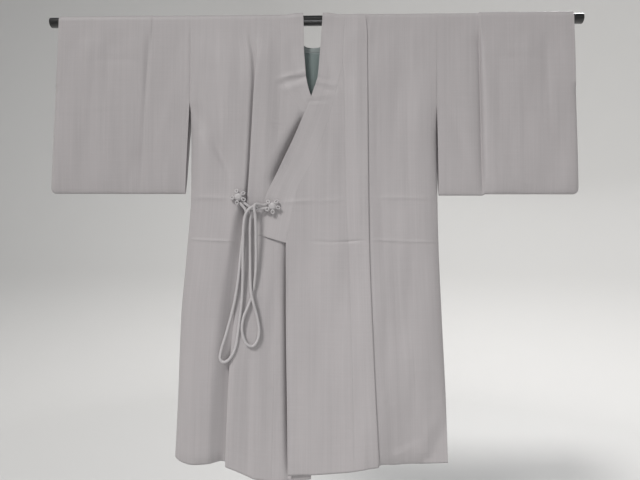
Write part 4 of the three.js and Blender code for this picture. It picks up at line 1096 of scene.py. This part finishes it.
# Its colour carries painted shade: the lining silk painted darker for the shade inside the neck
LINING_SILK_AND_SHADE = silk(
    "lining silk and painted shade", LINING_COLOUR_AND_SHADE, roughness=0.42, streaks=0.9, threads=1300, relief=0.2, sheen_weight=0.1,
    specular_ior_level=0.4,
)
lining = hang_cloth("neck_lining", grid, spread, LINING_WALL, LINING_SILK_AND_SHADE, "back_lining")
STRIP_SILK = silk(
    "lining strip silk", LINING_STRIP_COLOUR, roughness=0.42, streaks=0.9, threads=1300, relief=0.2,
    specular_ior_level=0.4,
)
lining.data.materials.append(STRIP_SILK)
strip = np.zeros(len(lining.data.polygons), int)
middles = np.empty(len(lining.data.polygons) * 3)
lining.data.polygons.foreach_get("center", middles)
strip[middles.reshape(-1, 3)[:, 2] > LINING_TOP[0][1] - STRIP_WIDTH] = 1
lining.data.polygons.foreach_set("material_index", strip)

# Flower knots
# A round button of thick silk cord with five small loops of thinner cord about it. Each is sewn flat on a
# front, and the tie cord comes out from under it.
BUTTON_HEIGHT = 0.014
BUTTON_GIRTH = 0.063
# Columns: height above the cloth, radius
BUTTON_PROFILE = [
    (0.0, 0.0096), (0.001, 0.0101), (0.004, 0.0103), (0.008, 0.0100), (0.0112, 0.0084), (0.0132, 0.0050),
    (0.014, 0.0004),
]
BUTTON_SIDES = 96
BUTTON_RINGS = 34
# How far the silk's gathers swell the radius, as a share of it
BUTTON_GATHERS = 0.018
# The small loops: height of their middles above the cloth, how much their outer ends droop, distance of their
# middles from the button's, half of the loop's length and width, and the cord's diameter
PETAL_HEIGHT = 0.0088
PETAL_DROOP = 0.0016
PETAL_CIRCLE = 0.0146
PETAL_LENGTH = 0.0041
PETAL_WIDTH = 0.0034
PETAL_CORD = 0.0042
PETAL_RINGS = 72
PETAL_SIDES = 16
# Middle of the back, and the directions of the loops in degrees from +X toward +Z
FLOWERS = {
    "right": ((-0.180, -0.0249, -0.458), (107, 36, 333, 258, 190)),
    "left": ((-0.096, -0.0227, -0.4805), (48, 345, 274, 212, 135)),
}


def silk_button(name, at):
    """A dome turned about its axis: radius by height from the table, with fine gathers of the silk that are
    strongest at its rim."""
    height = BUTTON_HEIGHT * np.sin(np.linspace(0, math.pi / 2, BUTTON_RINGS))
    radius = table(BUTTON_PROFILE, height)[:, None]
    angle = np.arange(BUTTON_SIDES) * 2 * math.pi / BUTTON_SIDES
    gathers = 0.5 * np.sin(11 * angle + 3 * np.sin(2 * angle)) + 0.5 * np.sin(17 * angle + 1)
    toward_rim = 0.3 + 0.7 * (1 - height[:, None] / BUTTON_HEIGHT)
    radius = radius * (1 + BUTTON_GATHERS * gathers * toward_rim)
    points = np.stack([
        radius * np.cos(angle), -np.broadcast_to(height[:, None], radius.shape), radius * np.sin(angle),
    ], axis=-1)
    return put_rings(name, points + at, height, BUTTON_GIRTH)


def petal_loop(name, at, toward):
    """A small closed loop of cord: an ellipse whose long way points out from the button, its outer end lower.
    Its x and z are a complex number, turned by the direction."""
    t = np.linspace(0, 2 * math.pi, PETAL_RINGS + 1)[:-1]
    flat = PETAL_CIRCLE + PETAL_LENGTH * np.cos(t) + 1j * PETAL_WIDTH * np.sin(t)
    flat = flat * np.exp(1j * math.radians(toward))
    line = np.column_stack([flat.real, -PETAL_HEIGHT + PETAL_DROOP * np.cos(t), flat.imag]) + at
    run = np.concatenate([[0], np.cumsum(np.linalg.norm(np.diff(line, axis=0), axis=1))])
    return round_tube(name, line, run, crimped(run, PETAL_SIDES, PETAL_CORD), PETAL_SIDES, closed=True)


for word, (at, directions) in FLOWERS.items():
    loops = [petal_loop(f"knot_{word}_loop_{i}", at, toward) for i, toward in enumerate(directions)]
    for piece in [silk_button(f"knot_{word}_button", at), *loops]:
        piece.data.materials.append(CORD_SILK)
        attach(piece, "root")
        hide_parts(f"knot_{word}")

# Floor and backdrop
# A plain pale floor of matt paint that curves up into a round wall, well away from the coat on all sides.
FLOOR_Z = -1.6
WALL_RADIUS = 3.4
WALL_HEIGHT = 4.2
WALL_SIDES = 96
WALL_COLOUR = (0.62, 0.618, 0.61)
COVE = 0.9
cove = np.linspace(0, math.pi / 2, 13)
profile = np.vstack([
    [(0.001, 0)],
    np.column_stack([WALL_RADIUS - COVE + COVE * np.sin(cove), COVE - COVE * np.cos(cove)]),
    [(WALL_RADIUS, WALL_HEIGHT)],
])
around = np.arange(WALL_SIDES) * 2 * math.pi / WALL_SIDES
points = np.stack([
    profile[:, :1] * np.cos(around), profile[:, :1] * np.sin(around),
    np.repeat(profile[:, 1:], WALL_SIDES, axis=1) + FLOOR_Z,
], axis=-1)
floor = put_rings("floor", points, profile[:, 1], 2 * math.pi * WALL_RADIUS, capped=False)
floor.data.materials.append(new_material("pale wall", WALL_COLOUR, 0.9)[0])
floor.visible_shadow = False

# Lights
# Soft daylight from the upper left in front of the coat, a low fill in front of its waist and one behind
# it, and an even pale surround.
SURROUND_COLOUR = (0.92, 0.95, 1.0)
SURROUND_STRENGTH = 0.1
# Columns: name, kind, place, target, strength, colour, angle of the daylight in radians or width of a fill
LIGHTS = [
    ("daylight", "SUN", (-1.0, -1.6, 1.3), (0, 0, -0.6), 2.25, (1, 0.985, 0.97), math.radians(12)),
    ("front fill", "AREA", (0.1, -1.5, -0.75), (0, 0, -0.65), 4.5, (0.97, 0.98, 1), 0.7),
    ("back fill", "AREA", (1.6, 1.9, 1.3), (0, 0, -0.5), 48, (0.97, 0.98, 1), 0.9),
]
surround = bpy.data.worlds.new("surround")
surround.use_nodes = True
background = surround.node_tree.nodes["Background"]
background.inputs["Color"].default_value = (*SURROUND_COLOUR, 1)
background.inputs["Strength"].default_value = SURROUND_STRENGTH
bpy.context.scene.world = surround


def put_light(name, kind, place, target, strength, colour, breadth):
    """A light at a place, turned to face a target, whose breadth softens its shadows."""
    lamp = bpy.data.lights.new(name, kind)
    lamp.energy, lamp.color = strength, colour
    if kind == "SUN":
        lamp.angle = breadth
    else:
        lamp.size = breadth
    light = bpy.data.objects.new(name, lamp)
    light.location = place
    light.rotation_euler = (Vector(target) - Vector(place)).to_track_quat("-Z", "Y").to_euler()
    light.visible_camera = False
    bpy.context.scene.collection.objects.link(light)


for row in LIGHTS:
    put_light(*row)

# Colours are shown plainly, without a film curve
bpy.context.scene.view_settings.view_transform = "Standard"
bpy.context.scene.view_settings.look = "None"
